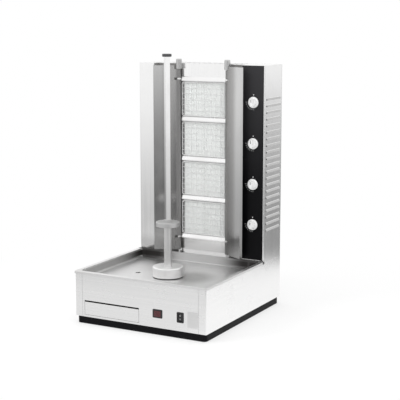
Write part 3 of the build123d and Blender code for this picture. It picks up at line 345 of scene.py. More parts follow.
def close_finish(graph, colour, roughness, normal, **fixed):
    """Ends a finish in one shader. An underscore in a fixed socket's name stands for a space."""
    sockets = {"Base Color": colour, "Roughness": roughness, "Normal": normal}
    sockets.update({name.replace("_", " "): value for name, value in fixed.items()})
    surface = graph.add("ShaderNodeBsdfPrincipled", 0, None, sockets)
    graph.add("ShaderNodeOutputMaterial", 0, None, {"Surface": surface})


def casing_foot_shade(g):
    """Share of painted shade on the casing just above the pan, darker towards the bottom."""
    return 0.5 * g.from_edge(g.axis("Z"), pan_high.z, CASING_SHADE_BAND)


def surround_foot_shade(g):
    """Share of painted shade on the plate under the lowest zone, darker towards the pan."""
    return 0.4 * g.from_edge(g.axis("Z"), pan_high.z, SURROUND_SHADE_BAND)


def reflector_foot_shade(g):
    """Share of painted shade on the feet of the reflectors, darker towards the pan."""
    return 0.7 * g.from_edge(g.axis("Z"), pan_high.z, REFLECTOR_SHADE_BAND)


def louvre_hood_shade(g):
    """Share of painted shade on the proud hoods of the louvres, drawing dark lines along them."""
    return 0.74 * g.from_edge(g.axis("X"), side_x, LOUVRE_SHADE_BAND)


def recess_corner_shade(g):
    """Share of painted shade in the two corners of the recess, behind the reflectors."""
    aside = g.aside()
    behind = g.from_edge(g.axis("Y"), tower_y, RECESS_SHADE_BEHIND_FRONT)
    outside = g.from_edge(aside, hinge_x, RECESS_SHADE_PAST_HINGE)
    inside = g.from_edge(aside, recess_x, RECESS_SHADE_PAST_RECESS)
    return behind * (outside * inside)


def brushed_steel(name, tone, rough, grain, smear=0.05, painted_shade=None, painted_recess_shade=None):
    """Rolled and brushed sheet: fine streaks and wiping marks, with painted shade where a mask is given:
    near the pan, on the louvre hoods or in the recess corners.
    """
    material, g = new_finish(name)
    streak = g.noise(g.place(grain), 1.0, 4.0, 0.62)
    wide = g.noise(g.place(tuple(s / 7 for s in grain), (0.3, 0.7, 0.2)), 1.0, 2.0)
    cloud = g.noise(g.place(), 4.5, 3.0)
    wipe = g.between(g.noise(g.place((1, 1, 1), (2.1, 0.4, 1.7)), 13.0, 4.0, 0.6), 0.45, 0.75)
    share = g.between(streak * 0.45 + wide * 0.35 + cloud * 0.20, 0.3, 0.7)
    colour = g.blend(share, grey(tone * 0.96), grey(tone * 1.03, 0.003))
    # Painted shade: the mask darkens the sheet towards a dark grey
    if painted_shade:
        colour = g.blend(painted_shade(g) * (0.7 + 0.6 * cloud), colour, grey(tone * 0.35, 0.01))
    spread = rough * 0.35
    roughness = rough - spread / 2 + spread * share + smear * wipe
    metal = 1.0
    # Painted shade in the recess corners: dark grey, rougher and less metallic
    if painted_recess_shade:
        recess_darkening = painted_recess_shade(g)
        colour = g.blend(recess_darkening * (0.8 + 0.2 * cloud), colour, grey(0.17, 0.03))
        roughness = roughness + 0.40 * recess_darkening
        metal = 1.0 - 0.9 * recess_darkening
    close_finish(g, colour, roughness, g.bump(streak, 0.05, 0.0003), Metallic=metal)
    return material


def polish(g, tone, grain):
    """Hairline marks and haze of a polished sheet, and its colour."""
    hair = g.noise(g.place(grain), 1.0, 3.0, 0.6)
    haze = g.between(g.noise(g.place((1, 1, 0.6)), 9.0, 4.0, 0.6), 0.42, 0.72)
    colour = g.blend(hair * 0.5 + haze * 0.4, grey(tone * 1.03), grey(tone * 0.92, 0.006))
    return hair, haze, colour


def polished_steel(name, tone, rough, grain):
    """Mirror-like sheet with hairline polishing marks and a little haze."""
    material, g = new_finish(name)
    hair, haze, colour = polish(g, tone, grain)
    roughness = rough + 0.05 * hair + 0.07 * haze
    close_finish(g, colour, roughness, g.bump(hair, 0.05, 0.0002), Metallic=1.0)
    return material


def reflector_steel(name, tone, rough, grain):
    """Mirror-like reflector: tinted by heat near its hinge, duller on the barrel, with painted shade at
    its foot.
    """
    material, g = new_finish(name)
    hair, haze, sheet = polish(g, tone, grain)
    from_hinge = {"X": g.aside() - hinge_x, "Y": g.axis("Y") - hinge_y}
    away = g.length(g.add("ShaderNodeCombineXYZ", 0, None, from_hinge))
    heat = g.between(away, *HINGE_HEAT) * (0.8 + 0.3 * haze)
    tinted = g.blend(g.between(away, *HINGE_TINT), sheet, grey(tone * 0.77, 0.008))
    dulled = g.blend(heat, tinted, grey(tone * 0.52, 0.01))
    # Painted shade at the reflector's foot: darker grey and a little rougher towards the pan
    foot_darkening = reflector_foot_shade(g) * (0.8 + 0.3 * haze)
    colour = g.blend(foot_darkening, dulled, grey(tone * 0.35, 0.01))
    roughness = rough + 0.05 * hair + 0.07 * haze + 0.22 * heat + 0.12 * foot_darkening
    close_finish(g, colour, roughness, g.bump(hair, 0.05, 0.0002), Metallic=1.0)
    return material


def turned_steel(name, tone, rough, rings, metal=1.0):
    """Lathe-turned metal: fine rings round the spit's axis, dulled where it is less metallic."""
    material, g = new_finish(name)
    lathe = {"X": g.from_upright(0, spit_y) * rings, "Y": g.axis("Z") * rings * 0.5}
    ring = g.noise(g.add("ShaderNodeCombineXYZ", 0, None, lathe), 1.0, 3.0, 0.6)
    stain = g.between(g.noise(g.place(), 16.0, 4.0, 0.6), 0.5, 0.8)
    colour = g.blend(ring * 0.6 + stain * 0.4, grey(tone * 1.03), grey(tone * 0.88, 0.01))
    roughness = rough + 0.12 * ring + 0.10 * stain
    close_finish(g, colour, roughness, g.bump(ring, 0.16, 0.0003), Metallic=metal)
    return material


def pan_wall_shade(g, shade_breakup, cloud):
    """Share of painted shade on the pan's upright walls and on its ledge, most in the back corners."""
    aside, along, level = g.aside(), g.axis("Y"), g.axis("Z")
    up = g.add("ShaderNodeSeparateXYZ", "Z", None, {0: g.add("ShaderNodeNewGeometry", "Normal")})
    wall = g.between(up.math("ABSOLUTE", up), *PAN_WALL_SLOPE)
    wall *= g.from_edge(level, pan_high.z - PAN_DEPTH, PAN_WALL_FOOT)
    wall *= g.from_edge(level, pan_high.z, PAN_WALL_TOP)
    wall *= g.from_edge(aside, pan_high.x, PAN_WALL_SIDE)
    wall *= g.from_edge(along, pan_low.y, PAN_WALL_FRONT)
    corner = g.between(aside, *PAN_CORNER_SIDE)
    corner *= g.from_edge(along, pan_high.y, PAN_CORNER_BACK, 0.38, 1.0)
    pan_shade = wall * corner * g.between(shade_breakup * 0.6 + cloud * 0.4, 0.15, 0.45, 0.80, 1.0)
    ledge = g.from_edge(along, pan_high.y, PAN_LEDGE_BACK)
    ledge *= g.between(aside, *PAN_LEDGE_SIDE, 0.30, 0.95)
    return pan_shade.math("MAXIMUM", pan_shade, ledge)


def pan_steel(name, tone, rough):
    """Drip pan: brushed floor with a painted shadow beside the dish, and painted shade on its walls and
    ledge.
    """
    material, g = new_finish(name)
    streak = g.noise(g.place(PAN_GRAIN), 1.0, 4.0, 0.6)
    cloud = g.noise(g.place(), 6.0, 4.0, 0.6)
    shade_breakup = g.noise(g.place(PAN_BREAKUP_GRAIN), 1.0, 4.0, 0.6)
    pan_shade = pan_wall_shade(g, shade_breakup, cloud)
    film = g.between(cloud, 0.48, 0.72)
    sheet = g.blend(streak * 0.6 + film * 0.5, grey(tone * 1.02), grey(tone * 0.90, 0.008))
    # Painted shadow of the dish on the pan floor, darker near its middle
    from_dish_shadow = g.from_upright(DISH_SHADOW_OFFSET[0], spit_y + DISH_SHADOW_OFFSET[1])
    dish_shadow = g.between(from_dish_shadow + 0.03 * cloud, *DISH_SHADOW_RADII) * (0.5 + 0.3 * shade_breakup)
    sheet = g.blend(dish_shadow, sheet, grey(tone * 0.42, 0.01))
    # Painted shade: walls and ledge darkened almost to black, rougher and less metallic
    colour = g.blend(pan_shade, sheet, (0.012, 0.010, 0.009, 1))
    roughness = rough + 0.10 * streak + 0.10 * film + 0.18 * pan_shade
    close_finish(g, colour, roughness, g.bump(streak, 0.08, 0.0003), Metallic=1.0 - 0.9 * pan_shade)
    return material


def moulded(name, tint, rough, fleck, relief, tone_change=0.25, **fixed):
    """Moulded or coated surface: a fine pebbled skin with slightly uneven colour and sheen."""
    material, g = new_finish(name)
    skin = g.noise(g.place(), fleck, 2.0)
    cloud = g.noise(g.place(), 22.0, 3.0)
    low = tuple(c * (1 - tone_change) for c in tint) + (1,)
    high = tuple(min(1.0, c * (1 + tone_change)) for c in tint) + (1,)
    colour = g.blend(cloud * 0.7 + skin * 0.3, low, high)
    roughness = rough - 0.05 + 0.12 * cloud
    close_finish(g, colour, roughness, g.bump(skin, relief, 0.0004), **fixed)
    return material


def panel_enamel(name):
    """Black stoved enamel, with painted light: paler grey towards the top of the tower."""
    material, g = new_finish(name)
    skin = g.noise(g.place(), 800.0, 2.0)
    cloud = g.noise(g.place((1, 1, 0.4)), 14.0, 3.0)
    # Painted light: the enamel turns paler grey towards its top
    paler_top = g.from_edge(g.axis("Z"), panel_top, PANEL_PALE_TOP) * (0.85 + 0.3 * cloud)
    deep, pale = (0.0022, 0.0021, 0.0027, 1), (0.0042, 0.0041, 0.0050, 1)
    plain_black = g.blend(cloud * 0.7 + skin * 0.3, deep, pale)
    colour = g.blend(paler_top, plain_black, (0.0360, 0.0355, 0.0380, 1))
    roughness = 0.29 + 0.12 * cloud
    close_finish(g, colour, roughness, g.bump(skin, 0.06, 0.0004), Specular_IOR_Level=0.10)
    return material


def fired_ceramic(name):
    """Off-white fired ceramic: grainy, slightly uneven in tone, with darker specks."""
    material, g = new_finish(name)
    grain = g.noise(g.place(), 700.0, 3.0, 0.7)
    bloom = g.noise(g.place((1, 1, 0.7)), 11.0, 4.0, 0.6)
    clay = g.blend(bloom, (0.88, 0.89, 0.88, 1), (0.80, 0.82, 0.81, 1))
    colour = g.blend(g.between(grain, 0.55, 0.85) * 0.25, clay, (0.56, 0.57, 0.55, 1))
    close_finish(g, colour, 0.80 + 0.1 * bloom, g.bump(grain, 0.25, 0.0004))
    return material


def cast_metal(name, tint, rough):
    """Cast, drawn or gear metal: grainy skin with darker patches of oil."""
    material, g = new_finish(name)
    skin = g.noise(g.place(), 320.0, 4.0, 0.6)
    oil = g.between(g.noise(g.place(), 28.0, 4.0, 0.6), 0.45, 0.7)
    dark = tuple(c * 0.72 for c in tint) + (1,)
    colour = g.blend(oil * 0.7 + skin * 0.3, tint + (1,), dark)
    close_finish(g, colour, rough + 0.14 * skin, g.bump(skin, 0.14, 0.0004), Metallic=1.0)
    return material


def lens_plastic(name):
    """Dark red lamp lens, glossy, unlit."""
    material, g = new_finish(name)
    depth = g.noise(g.place(), 120.0, 2.0)
    colour = g.blend(depth, (0.050, 0.006, 0.009, 1), (0.105, 0.014, 0.018, 1))
    fixed = {"Coat_Weight": 0.6, "Coat_Roughness": 0.08}
    close_finish(g, colour, 0.16 + 0.1 * depth, g.bump(depth, 0.03, 0.0003), **fixed)
    return material


# Finishes of the record's slots, and of pieces that differ from their slot
finishes = {
    "steel": brushed_steel("brushed_base_steel", 0.94, 0.24, HORIZONTAL),
    "tower_steel": brushed_steel("brushed_tower_steel", 0.93, 0.17, UPRIGHT),
    # The casing and surround get painted shade at the foot and in the recess corners, the louvre panel on
    # its hoods
    "casing_steel": brushed_steel("brushed_casing_steel", 0.93, 0.17, UPRIGHT,
                                  painted_shade=casing_foot_shade, painted_recess_shade=recess_corner_shade),
    "surround_steel": brushed_steel("brushed_surround_steel", 0.93, 0.17, UPRIGHT,
                                    painted_shade=surround_foot_shade, painted_recess_shade=recess_corner_shade),
    "louvre_steel": brushed_steel("brushed_louvre_steel", 0.92, 0.22, UPRIGHT, painted_shade=louvre_hood_shade),
    "pan_steel": pan_steel("drip_pan_steel", 0.84, 0.34),
    "wing_steel": reflector_steel("reflector_steel", 0.66, 0.12, REFLECTOR_GRAIN),
    "bright_steel": turned_steel("turned_bright_steel", 0.84, 0.12, 900.0),
    "dish_steel": turned_steel("turned_dish_alloy", 0.97, 0.34, 700.0, metal=0.88),
    "disc_steel": turned_steel("turned_disc_steel", 0.62, 0.40, 700.0),
    "sleeve_steel": turned_steel("turned_sleeve_steel", 0.74, 0.36, 700.0),
    "divider_steel": polished_steel("dulled_divider_steel", 0.98, 0.24, BAR_GRAIN),
    "bar_steel": polished_steel("polished_bar_steel", 0.94, 0.14, BAR_GRAIN),
    "hinge_steel": polished_steel("dulled_hinge_steel", 0.60, 0.28, EVEN_GRAIN),
    "inner_steel": brushed_steel("inner_sheet_steel", 0.62, 0.36, HORIZONTAL, 0.08),
    "screw_steel": cast_metal("plated_screw_steel", (0.66, 0.66, 0.67), 0.22),
    "gear_steel": cast_metal("oiled_gear_steel", (0.46, 0.46, 0.47), 0.30),
    "wire": polished_steel("plated_guard_wire", 0.94, 0.42, EVEN_GRAIN),
    "plinth": moulded("plinth_black", (0.004, 0.004, 0.005), 0.50, 600.0, 0.15, 0.3,
                      Specular_IOR_Level=0.1),
    "foot_rubber": moulded("foot_rubber", (0.030, 0.030, 0.030), 0.80, 500.0, 0.2, 0.3),
    "black_plastic": moulded("moulded_black", (0.012, 0.012, 0.013), 0.36, 1100.0, 0.08, 0.3),
    "black_panel": panel_enamel("control_panel_enamel"),
    "iron": cast_metal("bearing_iron", (0.28, 0.27, 0.26), 0.50),
    "bronze": cast_metal("bush_bronze", (0.55, 0.36, 0.18), 0.30),
    "brass": cast_metal("fitting_brass", (0.72, 0.54, 0.24), 0.24),
    "cast_alloy": cast_metal("gearbox_alloy", (0.56, 0.56, 0.55), 0.46),
    "motor_paint": moulded("motor_grey", (0.10, 0.11, 0.12), 0.44, 500.0, 0.12),
    "ceramic": fired_ceramic("burner_ceramic"),
    "knob_grey": moulded("spit_knob_grey", (0.055, 0.055, 0.058), 0.42, 900.0, 0.06, 0.2),
    "knob_white": moulded("knob_white", (0.80, 0.80, 0.80), 0.34, 900.0, 0.05, 0.06),
    "red_lens": lens_plastic("lamp_red"),
    "print_white": moulded("panel_print", (0.70, 0.70, 0.70), 0.55, 900.0, 0.03, 0.06),
    "print_black": moulded("pointer_print", (0.02, 0.02, 0.02), 0.5, 900.0, 0.03, 0.2),
    "label": brushed_steel("bare_label_plate", 0.78, 0.34, LABEL_GRAIN, 0.03),
}
own_finish = {
    "tower_top": "tower_steel",
    "tower_back_panel": "tower_steel",
    "tower_floor": "tower_steel",
    "hinge_brackets": "tower_steel",
    "hinge_rods": "hinge_steel",
    "left_casing": "casing_steel",
    "right_side_panel": "louvre_steel",
    "burner_surround": "surround_steel",
    "divider_bars": "divider_steel",
    "turntable": "dish_steel",
    "spit_bar": "bar_steel",
    "spit_sleeve": "sleeve_steel",
    "meat_disc": "disc_steel",
    "top_knob": "knob_grey",
}
for name, node in nodes.items():
    for place in node.material_slots:
        slot_name = place.material.name
        place.material = finishes[own_finish.get(name, slot_name)]


# Modelling by hand

def choose(piece):
    """Selects one piece alone and makes it active."""
    bpy.ops.object.select_all(action="DESELECT")
    piece.select_set(True)
    bpy.context.view_layer.objects.active = piece


def named(piece, name):
    piece.name = name
    piece.data.name = name
    return piece


def begin(operator, name, **where):
    """Adds a primitive to start a piece from."""
    bpy.ops.object.select_all(action="DESELECT")
    operator(**where)
    return named(bpy.context.active_object, name)


def settle(piece):
    """Puts a piece's place, turn and scale into its mesh."""
    choose(piece)
    bpy.ops.object.transform_apply(location=True, rotation=True, scale=True)


def shape(piece):
    """Opens a piece in edit mode."""
    choose(piece)
    bpy.ops.object.mode_set(mode="EDIT")


def leave():
    bpy.ops.object.mode_set(mode="OBJECT")


def pick(piece, kind, test):
    """Selects the corners, edges or faces that pass a test."""
    bpy.ops.mesh.select_mode(type=kind)
    bpy.ops.mesh.select_all(action="DESELECT")
    mesh = bmesh.from_edit_mesh(piece.data)
    parts = {"VERT": mesh.verts, "EDGE": mesh.edges, "FACE": mesh.faces}[kind]
    for part in parts:
        if test(part):
            part.select_set(True)
    mesh.select_flush_mode()
    bmesh.update_edit_mesh(piece.data)


def looks_front(face):
    return face.normal.y < -SQUARE_ON


def looks_back(face):
    return face.normal.y > SQUARE_ON


def is_round_end(face):
    """True for the ends of a round bar, whose sides have four corners each."""
    return len(face.verts) > 4


def apply_modifier(piece, kind, **settings):
    """Adds a modifier with its settings and applies it."""
    modifier = piece.modifiers.new(kind.lower(), kind)
    for name, value in settings.items():
        setattr(modifier, name, value)
    bpy.context.view_layer.objects.active = piece
    bpy.ops.object.modifier_apply(modifier=modifier.name)


def repeat(piece, count, step):
    """Repeats a piece's mesh in a row."""
    apply_modifier(piece, "ARRAY", count=count, use_relative_offset=False, use_constant_offset=True,
                   constant_offset_displace=step)


def cut_away(piece, tool):
    """Takes the tool's volume out of the piece and removes the tool."""
    apply_modifier(piece, "BOOLEAN", object=tool, operation="DIFFERENCE", solver="EXACT")
    bpy.data.objects.remove(tool)


def join(name, pieces):
    """Makes one piece of several."""
    bpy.ops.object.select_all(action="DESELECT")
    for piece in pieces:
        piece.select_set(True)
    bpy.context.view_layer.objects.active = pieces[0]
    bpy.ops.object.join()
    return named(pieces[0], name)


def copy_to(piece, name, shift):
    """A copy with a mesh of its own, moved by a shift."""
    twin = piece.copy()
    twin.data = piece.data.copy()
    named(twin, name)
    bpy.context.scene.collection.objects.link(twin)
    twin.location = shift
    settle(twin)
    return twin


def for_each_zone(first, stem):
    """The first zone's piece, and a copy of it for each zone above."""
    pieces = [first]
    for number in range(2, ZONE_COUNT + 1):
        pieces.append(copy_to(first, f"{stem}_{number}", (0, 0, zone_pitch * (number - 1))))
    return pieces


def hand_over(piece, body, slot_name, finish=None, stands_for=None, smooth=35):
    """Gives a finished piece its shading, its finish and its body, and hides the node that it stands for.
    """
    settle(piece)
    if smooth:
        bpy.ops.object.shade_smooth_by_angle(angle=math.radians(smooth))
    piece.data.materials.clear()
    piece.data.materials.append(finishes[finish or slot_name])
    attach(piece, body)
    if stands_for:
        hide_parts(stands_for)


def front_sheet(name, low, high, y, columns, rows):
    """A gridded sheet that faces the front, between two corners."""
    middle = ((low.x + high.x) / 2, y, (low.z + high.z) / 2)
    sheet = begin(bpy.ops.mesh.primitive_grid_add, name, x_subdivisions=columns, y_subdivisions=rows,
                  size=1, location=middle, rotation=TO_FRONT)
    sheet.scale = (high.x - low.x, high.z - low.z, 1)
    settle(sheet)
    return sheet


def wall_back(piece, depth):
    """Draws the open rim of a front-facing sheet back and closes it behind."""
    pick(piece, "EDGE", lambda edge: edge.is_boundary)
    bpy.ops.mesh.extrude_region_move(TRANSFORM_OT_translate={"value": (0, depth, 0)})
    bpy.ops.mesh.edge_face_add()


def slab(name, low, high, bevel, segments=2):
    """A block with softened edges between two corners."""
    middle = (low + high) / 2
    piece = begin(bpy.ops.mesh.primitive_cube_add, name, size=1, location=middle)
    piece.scale = high - low
    settle(piece)
    shape(piece)
    bpy.ops.mesh.select_all(action="SELECT")
    bpy.ops.mesh.bevel(offset=bevel, segments=segments, affect="EDGES")
    leave()
    return piece


def round_rod(name, start, end, radius):
    """A straight wire with softly rounded ends."""
    line = end - start
    turn = line.to_track_quat("Z", "Y").to_euler()
    rod = begin(bpy.ops.mesh.primitive_cylinder_add, name, vertices=WIRE_SIDES, radius=radius,
                depth=line.length, location=(start + end) / 2, rotation=turn)
    settle(rod)
    shape(rod)
    pick(rod, "FACE", is_round_end)
    bpy.ops.mesh.inset(thickness=radius * WIRE_END_INSET, depth=radius * WIRE_END_CROWN)
    leave()
    return rod


def wire_frame(name, low, high, y, radius, bend):
    """A closed rectangle of round wire with bent corners."""
    middle = ((low.x + high.x) / 2, y, (low.z + high.z) / 2)
    rim = begin(bpy.ops.mesh.primitive_plane_add, name, size=1, location=middle, rotation=TO_FRONT)
    rim.scale = (high.x - low.x - 2 * radius, high.z - low.z - 2 * radius, 1)
    settle(rim)
    shape(rim)
    bpy.ops.mesh.select_all(action="SELECT")
    bpy.ops.mesh.bevel(offset=bend, segments=4, affect="VERTICES")
    bpy.ops.mesh.delete(type="ONLY_FACE")
    leave()
    bpy.ops.object.convert(target="CURVE")
    rim.data.bevel_depth = radius
    rim.data.bevel_resolution = 2
    bpy.ops.object.convert(target="MESH")
    return bpy.context.active_object


def cylinder_along_y(name, middle, radius, y0, y1, sides=32):
    """A round bar between two depths, with its axis on the given x and z."""
    place = (middle.x, (y0 + y1) / 2, middle.z)
    bar = begin(bpy.ops.mesh.primitive_cylinder_add, name, vertices=sides, radius=radius, depth=y1 - y0,
                location=place, rotation=TO_BACK)
    settle(bar)
    return bar


def soften_rear(piece, width):
    """Bevels the rim of the face that looks backwards."""
    shape(piece)
    pick(piece, "FACE", looks_back)
    bpy.ops.mesh.region_to_loop()
    bpy.ops.mesh.bevel(offset=width, segments=3, affect="EDGES")
    leave()


def ceramic_tile(name, low, high):
    """One burner tile: a field of tapered flame holes in a solid block."""
    tile = front_sheet(name, low, high, low.y, TILE_COLUMNS, TILE_ROWS)
    shape(tile)
    bpy.ops.mesh.select_all(action="SELECT")
    bpy.ops.mesh.inset(thickness=TILE_RIM, depth=-TILE_DIMPLE, use_individual=True)
    wall_back(tile, high.y - low.y)
    leave()
    return tile


def ceramic_plates():
    """Two tiles side by side in each zone."""
    low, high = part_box("ceramic_plates")
    top = 2 * first_zone - low.z
    halves = []
    for side, x0, x1 in (("left", low.x, -TILE_JOINT / 2), ("right", TILE_JOINT / 2, high.x)):
        corners = Vector((x0, low.y, low.z)), Vector((x1, high.y, top))
        halves.append(ceramic_tile(f"tile_{side}", *corners))
    first = join("burner_tiles_1", halves)
    for plate in for_each_zone(first, "burner_tiles"):
        hand_over(plate, "frame", "ceramic", stands_for="ceramic_plates", smooth=None)


def burner_guards():
    """Welded round-wire guards, one over each zone, on four short legs."""
    low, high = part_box("burner_guards")
    tall = first_zone - low.z
    bottom = Vector((low.x, low.y, low.z))
    top = Vector((high.x, high.y, first_zone + tall))
    y_rim = low.y + GUARD_RIM_RADIUS
    y_cross = low.y + GUARD_WIRE_RADIUS
    y_long = y_cross + 2 * GUARD_WIRE_RADIUS
    step_x = (top.x - bottom.x) / GUARD_COLUMNS
    step_z = 2 * tall / GUARD_ROWS
    inset = GUARD_RIM_RADIUS
    leg_x, leg_z = GUARD_LEG_INSET
    parts = [wire_frame("guard_rim", bottom, top, y_rim, GUARD_RIM_RADIUS, GUARD_RIM_BEND)]
    upright = round_rod("guard_upright", Vector((bottom.x + step_x, y_long, bottom.z + inset)),
                        Vector((bottom.x + step_x, y_long, top.z - inset)), GUARD_WIRE_RADIUS)
    repeat(upright, GUARD_COLUMNS - 1, (step_x, 0, 0))
    cross = round_rod("guard_cross", Vector((bottom.x + inset, y_cross, bottom.z + step_z)),
                      Vector((top.x - inset, y_cross, bottom.z + step_z)), GUARD_WIRE_RADIUS)
    repeat(cross, GUARD_ROWS - 1, (0, 0, step_z))
    parts += [upright, cross]
    for x in (bottom.x + leg_x, top.x - leg_x):
        for z in (bottom.z + leg_z, top.z - leg_z):
            ends = Vector((x, y_rim, z)), Vector((x, high.y, z))
            parts.append(round_rod("guard_leg", *ends, GUARD_LEG_RADIUS))
    first = join("burner_guard_1", parts)
    for guard in for_each_zone(first, "burner_guard"):
        hand_over(guard, "frame", "wire", stands_for="burner_guards", smooth=50)


def lamp_lens():
    """Ribbed lens that snaps into the lamp frame."""
    low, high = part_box("lamp_lens")
    valley_y = low.y + LENS_RIB_DEPTH
    half_rib = (high.x - low.x) / (2 * LENS_RIBS)
    lens = front_sheet("ribbed_lamp_lens", low, high, valley_y, 2 * LENS_RIBS, 1)
    shape(lens)
    pick(lens, "VERT", lambda vert: round((vert.co.x - low.x) / half_rib) % 2 == 1)
    bpy.ops.transform.translate(value=(0, -LENS_RIB_DEPTH, 0))
    wall_back(lens, high.y - valley_y)
    leave()
    hand_over(lens, "frame", "red_lens", stands_for="lamp_lens", smooth=None)


def label_plate():
    """Bare metal plate on the base front, with a raised border."""
    x, z = LABEL_MIDDLE
    low = Vector((x - LABEL_WIDTH / 2, front_y - LABEL_THICK, z - LABEL_HEIGHT / 2))
    high = Vector((x + LABEL_WIDTH / 2, front_y + LABEL_THICK, z + LABEL_HEIGHT / 2))
    plate = slab("bare_label_plate", low, high, LABEL_BEVEL)
    shape(plate)
    pick(plate, "FACE", looks_front)
    bpy.ops.mesh.inset(thickness=LABEL_BORDER, depth=0.0)
    bpy.ops.mesh.inset(thickness=LABEL_STEP, depth=-LABEL_SUNK)
    leave()
    hand_over(plate, "frame", "steel", "label")


def gas_inlet():
    """Brass stub with a real pipe thread, a flange and an open bore."""
    low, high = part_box("gas_inlet")
    middle = (low + high) / 2
    flange_end = back_y + FLANGE_THICK
    root = INLET_CREST - 1.5 * THREAD_RIDGE  # a three-sided ridge is one and a half radii tall
    stub = cylinder_along_y("inlet_stub", middle, root, low.y, high.y, INLET_SIDES)
    shape(stub)
    pick(stub, "FACE", looks_back)
    bpy.ops.mesh.inset(thickness=root - INLET_BORE, depth=0.0)
    to_floor = (0, low.y - high.y + INLET_FLOOR, 0)
    bpy.ops.mesh.extrude_region_move(TRANSFORM_OT_translate={"value": to_floor})
    leave()
    flange_radius = (high.x - low.x) / 2
    flange = cylinder_along_y("inlet_flange", middle, flange_radius, back_y, flange_end, FLANGE_SIDES)
    soften_rear(flange, FLANGE_BEVEL)
    ridge = begin(bpy.ops.mesh.primitive_circle_add, "inlet_thread", vertices=3, radius=THREAD_RIDGE,
                  location=(INLET_CREST - THREAD_RIDGE, 0, 0), rotation=(0, 0, math.radians(-90)))
    settle(ridge)
    turns = int((high.y - flange_end) / THREAD_PITCH) - 1
    apply_modifier(ridge, "SCREW", axis="Y", angle=math.tau, screw_offset=THREAD_PITCH, iterations=turns,
                   steps=THREAD_STEPS, render_steps=THREAD_STEPS)
    ridge.location = (middle.x, high.y - THREAD_PITCH * (turns + 0.5), middle.z)
    settle(ridge)
    inlet = join("threaded_gas_inlet", [stub, flange, ridge])
    hand_over(inlet, "frame", "brass", stands_for="gas_inlet")


def casing_screws():
    """Cross-recessed pan-head screws in the tower's back."""
    low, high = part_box("casing_screws")
    corner = Vector((high.x - SCREW_HEAD_RADIUS, high.y, low.z + SCREW_HEAD_RADIUS))
    head = cylinder_along_y("casing_screw_1", corner, SCREW_HEAD_RADIUS, back_y, high.y)
    soften_rear(head, (high.y - back_y) * SCREW_HEAD_ROUND)
    upright = Vector(RECESS_HALF)
    for reach in (upright, upright.zyx):
        cut_away(head, slab("recess", corner - reach, corner + reach, RECESS_BEVEL, 1))
    shank = cylinder_along_y("shank", corner, SCREW_SHANK_RADIUS, low.y, back_y + SCREW_SHANK_LAP,
                             SCREW_SHANK_SIDES)
    first = join("casing_screw_1", [head, shank])
    screws = [first]
    rise = (high.z - low.z - 2 * SCREW_HEAD_RADIUS) / (SCREW_ROWS - 1)
    for row in range(SCREW_ROWS):
        for shift in (0, -2 * corner.x):
            if row or shift:
                screws.append(copy_to(first, f"casing_screw_{len(screws) + 1}", (shift, 0, row * rise)))
    for screw in screws:
        hand_over(screw, "frame", "screw_steel", stands_for="casing_screws")


def inlet_pins():
    """Bright pins over the moulded pin cores of the power inlet."""
    low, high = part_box("power_inlet")
    middle = (low + high) / 2
    for number, rise in enumerate(PIN_RISES, start=1):
        x = middle.x + (number - 2) * PIN_SPACING
        z = middle.z + rise
        start = Vector((x - PIN_WIDTH / 2, high.y - PIN_DEPTHS[0], z + PIN_HEIGHTS[0]))
        end = Vector((x + PIN_WIDTH / 2, high.y - PIN_DEPTHS[1], z + PIN_HEIGHTS[1]))
        hand_over(slab(f"inlet_pin_{number}", start, end, PIN_BEVEL), "frame", "screw_steel")


def rocker_marks():
    """The usual stroke and ring on the two halves of the rocker."""
    low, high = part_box("switch_rocker")
    middle = (low + high) / 2
    half = Vector(STROKE_HALF)
    stroke = slab("rocker_stroke", -half, half, STROKE_BEVEL, 1)
    ring = begin(bpy.ops.mesh.primitive_torus_add, "rocker_ring", major_segments=28, minor_segments=6,
                 major_radius=RING_RADIUS, minor_radius=RING_WIRE_RADIUS, rotation=TO_FRONT)
    settle(ring)
    for mark, (side, proud, lean) in ((stroke, STROKE_PLACE), (ring, RING_PLACE)):
        mark.rotation_euler = (math.radians(ROCKER_TILT) * lean, 0, 0)
        mark.location = (middle.x, front_y - proud, middle.z + side * ROCKER_MARK_RISE)
        settle(mark)
    hand_over(stroke, "rocker", "knob_white", "print_white", smooth=None)
    hand_over(ring, "rocker", "knob_white", "print_white")


def knob_pointer(number):
    """Black line let into a knob's grip, pointing up when the tap is shut."""
    low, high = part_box(f"knob_{number}")
    middle = (low + high) / 2
    start, end = POINTER_REACH
    bottom = Vector((middle.x - POINTER_WIDTH / 2, low.y - MARK_PROUD, middle.z + start))
    top = Vector((middle.x + POINTER_WIDTH / 2, low.y + POINTER_DEPTH, middle.z + end))
    line = slab(f"knob_pointer_{number}", bottom, top, POINTER_BEVEL)
    hand_over(line, f"knob_{number}", "black_plastic", "print_black")


